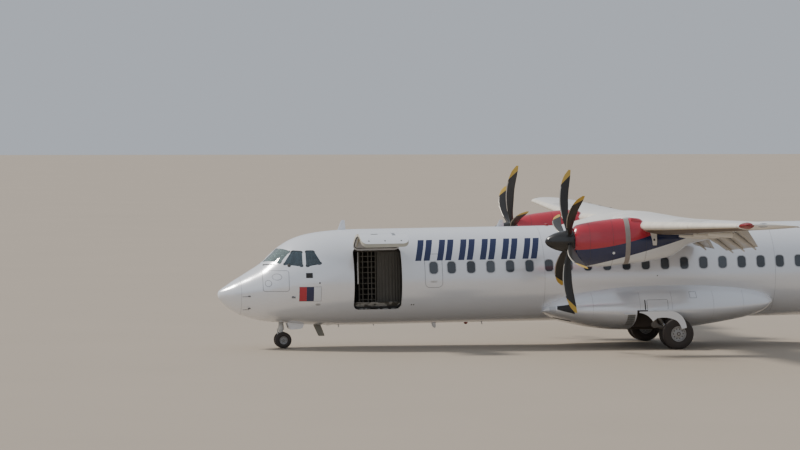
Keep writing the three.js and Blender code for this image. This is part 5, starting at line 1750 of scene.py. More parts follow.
class AIRLINER_OT_nose_gear(bpy.types.Operator):
    """Nose leg, steered strut, twin wheels, doors and the bay above them"""

    bl_idname = "airliner.nose_gear"
    bl_label = "Nose gear"

    def execute(self, context):
        wheel_set("nose_gear", SMALL_TYRE, NOSE_AXLE, "nose_wheels", "nose_wheels",
                  ["nose_tyre_left", "nose_tyre_right"], 6, 0.032)
        x, z = NOSE_LEG_X, NOSE_AXLE.z
        # Drag brace, housing, trunnion, the brace's upper pin and the lamp's bracket
        leg = Shape().tube((2.33, 0, 1.285), (x, 0, 0.88), 0.03, sides=24)
        leg.lathe([(0, 0), (0, 0.07), (0.012, 0.076), (0.05, 0.076), (0.06, 0.07), (0.5, 0.07), (0.5, 0.08),
                   (0.559, 0.08), (0.559, 0)], (x, 0, 0.7405), (0, 0, 1), 40)
        leg.tube((x, -0.225, 1.2), (x, 0.225, 1.2), 0.04, sides=28)
        leg.tube((2.33, -0.09, 1.27), (2.33, 0.09, 1.27), 0.03, sides=24)
        leg.box(x - 0.13, x - 0.06, -0.035, 0.035, 0.95, 1.06)
        piece("nose_leg_frame", leg.mesh(), [gear_paint()], slot="gear_metal", replaces=["nose_leg"])
        lamp = Shape().lathe([(0, 0), (0, 0.05), (0.012, 0.052), (0.09, 0.03), (0.09, 0)],
                             (x - 0.18, 0, 1.005), (1, 0, 0), 36)
        piece("taxi_lamp", lamp.mesh(), [lamp_glass()], slot="window_glass")
        # Steering collar, sleeve, the eye that holds the axle, its neck and the two scissor links
        strut = Shape().tube((x, 0, 0.739), (x, 0, 0.66), 0.084, sides=40)
        strut.tube((x, 0, 0.67), (x, 0, 0.56), 0.058, sides=32)
        strut.lathe([(-0.044, 0.036), (-0.044, 0.062), (0.044, 0.062), (0.044, 0.036), (-0.044, 0.036)],
                    (NOSE_AXLE.x, 0, z), (0, 1, 0), 40)
        strut.tube((x, 0, z + 0.02), (x, 0, z + 0.1), 0.056, 0.05, 32)
        for y in (-0.026, 0.014):
            arm = [(x, y, z + 0.062), (x - 0.108, y, z + 0.075), (x - 0.11, y, 0.55), (x - 0.11, y, 0.7),
                   (x, y, 0.695), (x, y, 0.668), (x - 0.075, y, 0.665), (x - 0.078, y, z + 0.112),
                   (x, y, z + 0.108)]
            strut.prism(arm, (0, 0, 0), (0, 0.012, 0))
        strut.tube((x - 0.094, -0.04, 0.56), (x - 0.094, 0.04, 0.56), 0.018, sides=20)
        piece("nose_strut_frame", strut.mesh(), [gear_paint()], "nose_strut", "gear_metal", ["nose_strut"])
        rod = Shape().tube((x, 0, 0.6), (x, 0, z + 0.09), 0.047, sides=32)
        piece("nose_strut_rod", rod.mesh(), [chrome()], "nose_strut", "gear_metal")
        self.add_doors()
        return {"FINISHED"}

    def add_doors(self):
        corners = [Vector((1.9, 0, 0.9)), Vector((2.4, 0, 0.9)), Vector((2.34, 0, 0.69)),
                   Vector((1.98, 0, 0.665))]
        outline = corners[:2]
        for k in (2, 3):
            before = corners[k] + (corners[k - 1] - corners[k]).normalized() * 0.06
            after = corners[k] + (corners[(k + 1) % 4] - corners[k]).normalized() * 0.06
            outline += bow(before, corners[k], after, 6)
        for name, side in SIDES:
            door = Shape().prism(outline, (0, side * 0.2347, 0), (0, side * 0.221, 0))
            for at in (2.02, 2.3):
                door.box(at - 0.015, at + 0.015, side * 0.221, side * 0.2, 0.8, 0.93, 1)
            piece(f"nose_gear_door_{name}_panel", door.mesh(), [white_paint(), gear_paint()],
                  slot="white_paint", replaces=[f"nose_gear_door_{name}"])
        x0, x1, half, roof = (NOSE_BAY[key] for key in ("x0", "x1", "half", "roof"))
        bay = Shape().box(x0 - 0.01, x1 + 0.01, -half - 0.01, half + 0.01, roof, roof + 0.01)
        for a, b in ((x0 - 0.01, x0), (x1, x1 + 0.01)):
            bay.box(a, b, -half - 0.01, half + 0.01, 0.9, roof)
        for _, side in SIDES:
            bay.box(x0, x1, side * half, side * (half + 0.01), 0.9, roof)
            for k in range(4):
                at = x0 + 0.12 + 0.22 * k
                bay.box(at, at + 0.012, side * half, side * (half - 0.025), 0.93, roof)
        piece("nose_bay_lining", bay.mesh(), [wall_paint()], slot="white_composite")


def lamp_glass():
    return glass("lamp_glass", (0.95, 0.96, 1.0, 1), 0.6)


# Doors, hold and rear entry

DOOR_WALL = 0.07
CORNER_ROOM = 0.015
KNUCKLE = {"radius": 0.018, "length": 0.07, "leaf": 0.04, "root": 0.06}
CARGO_KNUCKLES = (CARGO["x0"] + 0.23, CARGO["x1"] - 0.23)
STAIR_KNUCKLES = (STAIR["x0"] + 0.13, STAIR["x0"] + 0.36)
HOLD = {"x0": 3.33, "x1": 5.3, "floor": 1.22}
ENTRY = {"x0": 19.76, "x1": 21.86, "floor": 1.3}


def band(half, low, high):
    """Profile of a flat moulding: its half width and the lifts of its two edges"""
    return (-half, low), (-half, high), (half, high), (half, low)


SEAM = band(0.006, -0.002, 0.0008)
FINE_SEAM = band(0.003, -0.002, 0.0006)


def skin_line(table, flat, side, closed=True):
    """Points and outward directions on a skin along a path of stations and heights"""
    flat = [Vector(p) for p in flat]
    path = []
    for start, end in zip(flat, flat[1:] + flat[:1] if closed else flat[1:]):
        count = max(1, math.ceil((end - start).length / PATH_STEP))
        path += [start.lerp(end, k / count) for k in range(count)]
    if not closed:
        path.append(flat[-1])
    x, z = np.array(path).T
    places = on_skin(table, x, z, side)
    return places, on_skin(table, x, z, side, 1.0) - places


def hinge_knuckles(shape, hinge, middles, of_door, up, look):
    """The knuckles of a door or its frame, each on a leaf that lies against the skin"""
    length = KNUCKLE["length"]
    for middle in middles:
        for k in (-1, 0, 1):
            if (k == 0) != of_door:
                continue
            x0 = middle + (k - 0.5) * length + JOINT_GAP
            x1 = x0 + length - 2 * JOINT_GAP
            start, end = (x0, hinge.y, hinge.z), (x1, hinge.y, hinge.z)
            shape.tube(start, end, KNUCKLE["radius"], sides=24, look=look)
            near = hinge.z + (up * DOOR_PLAY if of_door else 0)
            inner = float(on_skin(FUSELAGE, x1, hinge.z, -1)[1]) + KNUCKLE["root"]
            shape.box(x0, x1, hinge.y, inner, near, hinge.z + up * KNUCKLE["leaf"], look)


def door_panel(box, x0, x1):
    """The skin of a port door, with play round it"""
    inside = grown(box, -DOOR_PLAY, corner=CORNER_ROOM)
    mesh = carved(shell(FUSELAGE, x0, x1, DOOR_WALL).mesh(), block_through(inside).mesh(), "INTERSECT")
    skin_shading(mesh, FUSELAGE)
    return mesh


def room_lining(name, x0, x1, floor, opening, finish):
    """Wall lining with a doorway, floor and end walls of a room inside the fuselage"""
    stations = steps_between(x0, x1, 0.25)
    rings = egg_rings(FUSELAGE, stations, 96, -0.056) + egg_rings(FUSELAGE, stations[::-1], 96, -0.07)
    lining = carved(Shape().loft(rings, hoop=True).mesh(), block_through(opening).mesh())
    plates = [Shape().box(x0, x1, -1.5, 1.5, floor - 0.02, floor)]
    for end, way in ((x0, -1), (x1, 1)):
        plates.append(Shape().box(end, end + way * 0.02, -1.5, 1.5, 0.5, 3.6))
    within = Shape().loft(egg_rings(FUSELAGE, [x0 - 0.03, (x0 + x1) / 2, x1 + 0.03], 96, -0.071)).mesh()
    piece(f"{name}_lining", lining, [finish], slot="deck_trim")
    floor_parts = [carved(plate.mesh(), within, "INTERSECT") for plate in plates]
    piece(f"{name}_floor", merged(floor_parts), [finish], slot="deck_trim")


def hold_trim():
    return plain("hold_trim", (0.13, 0.12, 0.1, 1), 0.7)


class AIRLINER_OT_cargo_door(bpy.types.Operator):
    """The open cargo door with its ribs, seal and hinges, and the hold behind it"""

    bl_idname = "airliner.cargo_door"
    bl_label = "Cargo door and hold"

    def execute(self, context):
        hinge = hinge_place("cargo_door_hinge")
        turn = turned_about(hinge, -CARGO["open"], "X")
        panel = door_panel(CARGO, 3.5, 5.1)
        piece("cargo_door_skin", panel, [white_paint(), wall_paint()], "cargo_door", "white_paint",
              ["cargo_door"], move=turn)
        inner = Shape()
        hinge_knuckles(inner, hinge, CARGO_KNUCKLES, True, -1, 0)
        for x in (3.74, 3.98, 4.3, 4.62, 4.86):
            inner.mould(FUSELAGE, [(x, 1.45), (x, 2.84)], -1, band(0.012, -0.068, -0.1), closed=False)
        for z in (1.75, 2.15, 2.55):
            inner.mould(FUSELAGE, [(3.72, z), (4.88, z)], -1, band(0.01, -0.068, -0.092), closed=False)
        piece("cargo_door_ribs", inner.mesh(), [wall_paint()], "cargo_door", "white_paint", move=turn)
        seal = Shape().mould(FUSELAGE, box_outline(CARGO, -0.036), -1,
                             ((-0.012, -0.069), (-0.008, -0.079), (0.008, -0.079), (0.012, -0.069)))
        piece("cargo_door_seal", seal.mesh(), [seal_rubber()], "cargo_door", "tyre_rubber", move=turn)
        fittings = Shape()
        for x in (3.855, 4.303, 4.754):
            fittings.round_patch(FUSELAGE, x, 1.34, -1, 0.022, 0.0015)
        fittings.mould(FUSELAGE, [(3.975, 1.75), (4.165, 1.75)], -1, band(0.028, -0.002, 0.0015),
                       closed=False)
        piece("cargo_door_latches", fittings.mesh(), [dark_steel()], "cargo_door", "gear_metal", move=turn)
        plate = Shape().mould(FUSELAGE, [(4.6, 1.62), (4.6, 2.1)], -1,
                              ((-0.05, -0.002), (-0.04, 0.003), (0.04, 0.003), (0.05, -0.002)), closed=False)
        piece("cargo_door_plate", plate.mesh(), [bare_metal()], "cargo_door", "gear_metal", move=turn)
        self.add_frame(hinge)
        self.add_hold()
        return {"FINISHED"}

    def add_frame(self, hinge):
        """The doorway's frame with its knuckles, and the strut that holds the door"""
        frame_part = Shape().mould(FUSELAGE, box_outline(CARGO), -1,
                                   ((-0.018, -0.077), (-0.018, -0.1), (0.034, -0.1), (0.034, -0.077)))
        hinge_knuckles(frame_part, hinge, CARGO_KNUCKLES, False, 1, 1)
        piece("cargo_door_frame", frame_part.mesh(), [seal_rubber(), wall_paint()], slot="white_paint")
        strut = Shape().tube((3.81, -0.93, 2.9), (3.762, -1.24, 2.0), 0.013, sides=16)
        strut.tube((3.785, -1.06, 2.55), (3.76, -1.25, 1.95), 0.02, sides=16)
        piece("cargo_door_strut", strut.mesh(), [gear_paint()], slot="gear_metal")

    def add_hold(self):
        """The hold's lining, sill, roller, net and curtain"""
        x0, x1, floor = HOLD["x0"], HOLD["x1"], HOLD["floor"]
        room_lining("hold", x0, x1, floor, grown(CARGO, 0.03), hold_trim())
        sill = Shape()
        for z0, z1, lift in ((1.236, 1.3, -0.112), (1.3, 1.385, -0.106)):
            middle = (z0 + z1) / 2
            half = (z1 - z0) / 2
            sill.mould(FUSELAGE, [(3.66, middle), (4.95, middle)], -1,
                       ((-half, lift), (-half, lift + 0.012), (half, lift + 0.012), (half, lift)),
                       closed=False)
        for k in range(5):
            sill.box(3.78 + 0.24 * k, 3.93 + 0.24 * k, -0.94, -0.84, floor, floor + 0.04)
        piece("hold_sill", sill.mesh(), [scuffed_metal()], slot="gear_metal")
        roller = Shape()
        for x in (3.86, 3.98, 4.1):
            roller.tube((x, -1.04, 1.40), (x, -0.86, 1.40), 0.022, sides=20)
        roller.box(3.82, 4.14, -1.05, -1.03, 1.26, 1.42)
        roller.box(3.82, 4.14, -0.87, -0.85, 1.26, 1.42)
        piece("hold_roller", roller.mesh(), [bare_metal()], slot="gear_metal")
        net = Shape()
        straps = (3.83, 3.935, 4.085, 4.185, 4.295)
        for x in straps:
            net.box(x - 0.014, x + 0.014, -0.984, -0.98, 1.3, 2.84)
        for z in np.arange(1.5, 2.8, 0.15):
            net.box(straps[0], straps[-1], -0.981, -0.977, z - 0.011, z + 0.011)
        for z in (1.3, 2.84):
            net.tube((3.72, -0.975, z), (5.0, -0.975, z), 0.014, sides=16)
        piece("hold_net", net.mesh(), [plain("net_webbing", (0.085, 0.078, 0.066, 1), 0.85, grain=300.0)],
              slot="black_composite")
        self.add_curtain()

    def add_curtain(self):
        """A cloth curtain that hangs in shallow folds beside the net"""
        steps = np.linspace(0, 1, 121)
        x = 4.335 + 0.7 * steps
        levels = steps_between(1.36, 2.82, 0.06)
        points = []
        for z in levels:
            loose = 0.35 + 0.65 * (2.82 - z) / 1.46
            y = -0.965 + 0.012 * loose * np.sin(52 * steps + 1.3 * np.sin(7 * steps) + 0.3 * z)
            points.append(np.stack([x, y, np.full(len(x), z)], -1))
        back = [row + np.array([0, 0.002, 0]) for row in points]
        cloth = Shape().loft([np.concatenate([front, rear[::-1]]) for front, rear in zip(points, back)])
        made = piece("hold_curtain", cloth.mesh(), [curtain_cloth()], slot="seat_cover")


def scuffed_metal():
    """Kick plate metal with darker worn patches"""
    material, tree, shader = new_material("scuffed_metal", 0.4, metal=0.7)
    place = object_place(tree)
    patch = noise(tree, place, 5.0, 6.0)
    worn = fade(tree, patch, 0.42, 0.56)
    link(tree, blend(tree, worn, (0.5, 0.5, 0.49, 1), (0.1, 0.095, 0.085, 1)), shader.inputs["Base Color"])
    link(tree, sums(tree, "MULTIPLY_ADD", worn, 0.3, 0.35), shader.inputs["Roughness"])
    bump(tree, shader, patch, 0.3, 0.004)
    return material


def curtain_cloth():
    """Dark olive cloth with a fine weave"""
    material, tree, shader = new_material("curtain_cloth", 0.9)
    place = object_place(tree)
    cloud = noise(tree, place, 3.0, 3.0)
    weave = node(tree, "ShaderNodeTexWave", {"Vector": place, "Scale": 180.0, "Distortion": 0.4}).outputs[1]
    link(tree, blend(tree, cloud, (0.075, 0.07, 0.06, 1), (0.1, 0.095, 0.085, 1)),
         shader.inputs["Base Color"])
    bump(tree, shader, weave, 0.3, 0.001)
    return material


class AIRLINER_OT_rear_entry(bpy.types.Operator):
    """The closed airstair with its folded steps and rails, and the entry behind it"""

    bl_idname = "airliner.rear_entry"
    bl_label = "Airstair and entry"

    def execute(self, context):
        hinge = hinge_place("airstair_door_hinge")
        panel = door_panel(STAIR, 19.95, 21.05)
        piece("airstair_door_skin", panel, [white_paint(), wall_paint()], "airstair_door", "white_paint",
              ["airstair_door"])
        fittings = Shape()
        hinge_knuckles(fittings, hinge, STAIR_KNUCKLES, True, 1, 0)
        # A folded step lies thirty degrees off the door, so that it is level once the door is down
        for z in (1.5, 1.8, 2.1, 2.4, 2.7):
            inner = float(on_skin(FUSELAGE, 20.8, z, -1, -DOOR_WALL)[1]) - 0.004
            top = float(on_skin(FUSELAGE, 20.8, z + 0.24, -1, -DOOR_WALL)[1]) - 0.004
            outline = [(20.2, inner, z), (20.2, top, z + 0.24), (20.2, inner + 0.125, z + 0.217)]
            fittings.prism(outline, (0, 0, 0), (0.6, 0, 0), 1)
        for x in (20.165, 20.835):
            low = on_skin(FUSELAGE, x, 1.5, -1, -DOOR_WALL)
            high = on_skin(FUSELAGE, x, 2.9, -1, -DOOR_WALL)
            rail = [low, low + (0, 0.15, 0.06),
                    *bow(low + (0, 0.17, 0.2), (x, -0.98, 2.3), high + (0, 0.16, -0.2)),
                    high + (0, 0.14, -0.05), high]
            fittings.pipe(rail, 0.012, 12, 2)
        piece("airstair_steps", fittings.mesh(), [wall_paint(), step_grip(), chrome()], "airstair_door",
              "gear_metal")
        seal = Shape().mould(FUSELAGE, box_outline(STAIR, -0.03), -1,
                             ((-0.01, -0.069), (-0.007, -0.079), (0.007, -0.079), (0.01, -0.069)))
        piece("airstair_seal", seal.mesh(), [seal_rubber()], "airstair_door", "tyre_rubber")
        handle = Shape()
        handle.mould(FUSELAGE, [(20.32, 2.12), (20.48, 2.12)], -1, band(0.03, -0.002, 0.002), closed=False)
        grip = ((20.335, 0.0), (20.345, 0.012), (20.455, 0.012), (20.465, 0.0))
        handle.pipe([on_skin(FUSELAGE, x, 2.12, -1, lift) for x, lift in grip], 0.006, 10, 1)
        piece("airstair_handle", handle.mesh(), [dark_steel(), bare_metal()], "airstair_door", "gear_metal")
        frame_part = Shape().mould(FUSELAGE, box_outline(STAIR, 0.002), -1,
                                   ((0.0, -0.049), (0.0, -0.1), (0.03, -0.1), (0.03, -0.049)))
        hinge_knuckles(frame_part, hinge, STAIR_KNUCKLES, False, -1, 1)
        piece("airstair_frame", frame_part.mesh(), [seal_rubber(), wall_paint()], slot="white_paint")
        opening = grown(STAIR, 0.03, below=0.04)
        trim = plain("cabin_trim", (0.5, 0.49, 0.46, 1), 0.6)
        room_lining("entry", ENTRY["x0"], ENTRY["x1"], ENTRY["floor"] - 0.01, opening, trim)
        return {"FINISHED"}


def step_grip():
    return plain("step_grip", (0.06, 0.06, 0.06, 1), 0.8, grain=220.0, depth=0.8)


# Flight deck

DECK = {"x0": 1.2, "x1": 3.16, "floor": 1.56}


def to_skin(table, point, way):
    """Where a line through a point near a skin crosses it"""
    point, way = Vector(point), Vector(way)
    if way.y * point.y < 0:
        way = -way
    low, high = -0.35, 0.35
    for _ in range(36):
        middle = (low + high) / 2
        at = point + way * middle
        share, _, half = reach(table, at.x, at.z)
        if (at.y / half) ** 2 + share ** 2 < 1:
            low = middle
        else:
            high = middle
    return point + way * low


def pane_outline(corners, radius, side, shrink):
    """Points and outward directions on the skin round a pane"""
    ring = pane_prism(corners, radius, side, shrink)
    count = len(ring.points) // 2
    near, far = np.array(ring.points[:count]), np.array(ring.points[count:])
    places = []
    for start, end in zip(near, far):
        way = Vector(start - end).normalized()
        places.append(to_skin(FUSELAGE, (start + end) / 2, way))
    places = np.array(places)
    return places, skin_normal(FUSELAGE, places[:, 0], places[:, 1], places[:, 2])


def pillow(shape, x0, x1, y0, y1, z0, z1, soft, look=0):
    """A box with soft round edges"""
    rings = []
    middle = ((x0 + x1) / 2, (y0 + y1) / 2)
    turn = np.linspace(0, 0.5 * np.pi, 5)
    rows = [(z0 + soft * (1 - math.cos(a)), soft * (1 - math.sin(a))) for a in turn]
    rows += [(z1 - soft * (1 - math.cos(a)), soft * (1 - math.sin(a))) for a in turn[::-1]]
    for z, inset in rows:
        flat = rounded(x1 - x0 - 2 * inset, y1 - y0 - 2 * inset, soft * 1.2 - inset * 0.9, 5)
        rings.append([(middle[0] + a, middle[1] + b, z) for a, b in flat])
    return shape.loft(rings, look)


class AIRLINER_OT_flight_deck(bpy.types.Operator):
    """Windscreen panes in their frames, wipers, and the flight deck behind them"""

    bl_idname = "airliner.flight_deck"
    bl_label = "Flight deck"

    def execute(self, context):
        side_glass = glass("side_pane_glass", (0.22, 0.3, 0.36, 1), 0.78, 0.03)
        glazing = {"front": windscreen_glass(), "side": side_glass, "rear": side_glass}
        wipers = Shape()
        for name, side in SIDES:
            for title, corners, radius in PANES:
                skin = shell_between(FUSELAGE, 1.15, 2.85, -0.006, -0.022).mesh()
                pane = carved(skin, pane_prism(corners, radius, side, 0.0005).mesh(), "INTERSECT")
                skin_shading(pane, FUSELAGE)
                piece(f"pane_{title}_{name}_glass", pane, [glazing[title]], slot="window_glass",
                      replaces=[f"pane_{title}_{name}"])
                section_rows = ((0.016, -0.002), (0.014, 0.002), (0.0, 0.002), (0.0, -0.03), (0.016, -0.03))
                rim = Shape().strip(*pane_outline(corners, radius, side, 0.0),
                                    [(side * across, lift) for across, lift in section_rows])
                piece(f"pane_{title}_{name}_frame", rim.mesh(), [seal_rubber()], slot="tyre_rubber")
            foot = Vector(on_skin(FUSELAGE, 1.25, 2.49, side, 0.0))
            wipers.pipe([Vector(on_skin(FUSELAGE, x, z, side, 0.014)) for x, z in (
                (1.25, 2.49), (1.3, 2.505), (1.36, 2.51), (1.43, 2.512), (1.52, 2.51))], 0.008, 10)
            wipers.lathe([(-0.01, 0.026), (0.02, 0.022), (0.026, 0)], foot,
                         skin_normal(FUSELAGE, foot.x, foot.y, foot.z), 20)
        piece("windscreen_wipers", wipers.mesh(), [black_hose()], slot="black_composite")
        self.add_deck()
        for name, side in SIDES:
            self.add_seat(name, side)
        return {"FINISHED"}

    def add_deck(self):
        """The flight deck's lining, panel, console, yokes, levers and screens"""
        x0, x1, floor = DECK["x0"], DECK["x1"], DECK["floor"]
        trim = plain("deck_lining", (0.11, 0.115, 0.12, 1), 0.7)
        lining = shell_between(FUSELAGE, x0, x1, -0.056, -0.068).mesh()
        lining = with_panes_cut(lining, -0.012)
        plates = Shape().box(x0, x1, -1.5, 1.5, floor - 0.02, floor)
        plates.box(x1 - 0.02, x1, -1.5, 1.5, 0.8, 3.5)
        stations = steps_between(x0 - 0.02, x1 + 0.02, 0.1)
        within = Shape().loft(egg_rings(FUSELAGE, stations, 96, -0.0685)).mesh()
        above_bay = Shape().box(x0, x1, -1.5, 1.5, 1.33, 3.5).mesh()
        floor_mesh = carved(carved(plates.mesh(), within, "INTERSECT"), above_bay, "INTERSECT")
        piece("deck_walls", merged([lining, floor_mesh]), [trim], slot="deck_trim")
        # Glare shade, panel and pedestal
        console = Shape()
        pillow(console, 1.42, 1.72, -0.72, 0.72, 2.3, 2.37, 0.03)
        console.prism([(1.5, -0.7, 2.31), (1.62, -0.7, 1.86), (1.5, -0.7, 1.8), (1.3, -0.7, 1.8),
                       (1.3, -0.7, 2.3)], (0, 0, 0), (0, 1.4, 0))
        pillow(console, 1.64, 2.45, -0.18, 0.18, floor, 1.8, 0.03)
        for y in (-0.52, 0.52):
            console.tube((1.72, y, floor + 0.02), (1.78, y, 2.08), 0.022, sides=16)
            console.hoop(band(0.012, 0.13, 0.155), (1.79, y, 2.1), (1, 0, -0.3), 40)
        for y in (-0.05, 0.05):
            console.tube((1.9, y, 1.78), (1.86, y, 1.93), 0.012, sides=12)
            console.tube((1.86, y - 0.03, 1.94), (1.86, y + 0.03, 1.94), 0.018, sides=14)
        for k in range(5):
            y = -0.52 + 0.26 * k
            screen = [(1.517, y - 0.1, 2.27), (1.517, y + 0.1, 2.27), (1.582, y + 0.1, 2.03),
                      (1.582, y - 0.1, 2.03)]
            console.prism(screen, (0, 0, 0), (0.008, 0, 0.002), 1)
        piece("deck_panel", console.mesh(), [plain("panel_grey", (0.05, 0.055, 0.06, 1), 0.6),
                                             plain("screen_glass", (0.01, 0.014, 0.02, 1), 0.1)],
              slot="deck_trim", replaces=["instrument_panel"])

    def add_seat(self, name, side):
        """A pilot's seat: its base and its three pads"""
        y = side * 0.52
        base = Shape().box(2.12, 2.48, y - 0.18, y + 0.18, DECK["floor"], 1.86)
        for way in (-1, 1):
            pillow(base, 2.2, 2.52, y + way * 0.255 - 0.03, y + way * 0.255 + 0.03, 2.13, 2.19, 0.02)
            base.tube((2.5, y + way * 0.24, 2.15), (2.5, y + way * 0.24, 1.95), 0.018, sides=14)
        piece(f"pilot_seat_{name}_base", base.mesh(), [dark_steel()], slot="gear_metal",
              replaces=[f"pilot_seat_{name}"])
        cover = plain("seat_wool", (0.32, 0.29, 0.25, 1), 0.9, grain=260.0, depth=0.6)
        pads = (("cushion", 2.03, 2.5, y - 0.23, y + 0.23, 1.862, 1.985, 0.05),
                ("back", 2.49, 2.6, y - 0.22, y + 0.22, 1.96, 2.61, 0.05),
                ("headrest", 2.5, 2.59, y - 0.13, y + 0.13, 2.615, 2.81, 0.04))
        for title, *corners, soft in pads:
            made = pillow(Shape(), *corners, soft).mesh()
            piece(f"pilot_seat_{name}_{title}", made, [cover], slot="seat_cover")


def windscreen_glass():
    return glass("windscreen_glass", (0.48, 0.6, 0.6, 1), 0.75, 0.03)


# Marks and small fittings

# Marks of the skins: station and height of each corner (lower front, lower aft, upper aft, upper front)
INLET = ((9.33, 1.131), (9.806, 1.004), (9.713, 1.276), (9.335, 1.223))
SLIT = ((9.36, 0.855), (9.82, 0.755), (9.824, 0.782), (9.337, 0.885))
VENT = ((11.25, 0.66), (11.46, 0.66), (11.46, 0.97), (11.25, 0.97))
WELL_PANEL = ((11.8, 1.06), (12.36, 1.06), (12.36, 1.355), (11.8, 1.355))
WELL_SLOT = ((11.715, 1.1), (11.745, 1.1), (11.745, 1.37), (11.715, 1.37))
LANDING_LIGHT = ((9.14, 1.07), (9.3, 1.06), (9.3, 1.22), (9.14, 1.2))
EXHAUST = ((11.37, 3.0), (11.47, 3.0), (11.49, 3.36), (11.31, 3.36))
NOSE_HATCH = {"x0": 1.165, "x1": 1.855, "z0": 1.78, "z1": 2.35, "corner": 0.06}
FAIRING_HATCH = {"x0": 13.03, "x1": 13.22, "z0": 1.4, "z1": 1.566, "corner": 0.01}
WELL_HATCH = {"x0": 11.785, "x1": 12.375, "z0": 1.1, "z1": 1.37, "corner": 0.03}
PLAQUE = {"x0": 2.126, "x1": 2.72, "z0": 1.5, "z1": 1.9, "corner": 0.004}
# Side motif: first station, pitch, count, lower and upper height, stroke width, lean, gap
MOTIF = {"first": 5.36, "pitch": 0.605, "count": 6, "z0": 2.56, "z1": 3.12, "stroke": 0.17, "lean": 0.15,
         "gap": 0.065}
# Tail motif: its station, and the foot height, half width and rise of each chevron
CHEVRON_X = 24.2
CHEVRONS = ((3.95, 0.75, 0.5), (4.35, 0.62, 0.42), (4.75, 0.48, 0.33))
BAND_X = 10.69
# Flap hinge fairings: y and the flap behind each
TRACKS = ((2.4, "flap_inner"), (5.6, "flap_outer"), (7.1, "flap_outer"), (8.6, "flap_outer"))
JACK_PADS = (("nose", 3.08, 0.0, 0.755), ("left", 13.33, -0.7, 0.5), ("right", 13.33, 0.7, 0.5))


def mark_paint(name, colour):
    """Paint of a motif, with no panel joints of its own"""
    return paint(name, colour, dust=0.15, joints=False)


def seam_grey():
    return plain("seam_grey", (0.2, 0.2, 0.22, 1), 0.6)


def slanted(x0, x1, z0, z1, lean=0.0):
    """Corners of an upright bar, its top moved aft by a lean"""
    return ((x0, z0), (x1, z0), (x1 + lean, z1), (x0 + lean, z1))


def on_fin(x, z, side, lift):
    """Points on the side of the fin"""
    front, back, thick = columns_at(FIN, z)
    half = half_thickness(np.clip((x - front) / (back - front), 0.0, 1.0)) * thick
    return np.stack([x, side * (half + lift), z], -1)


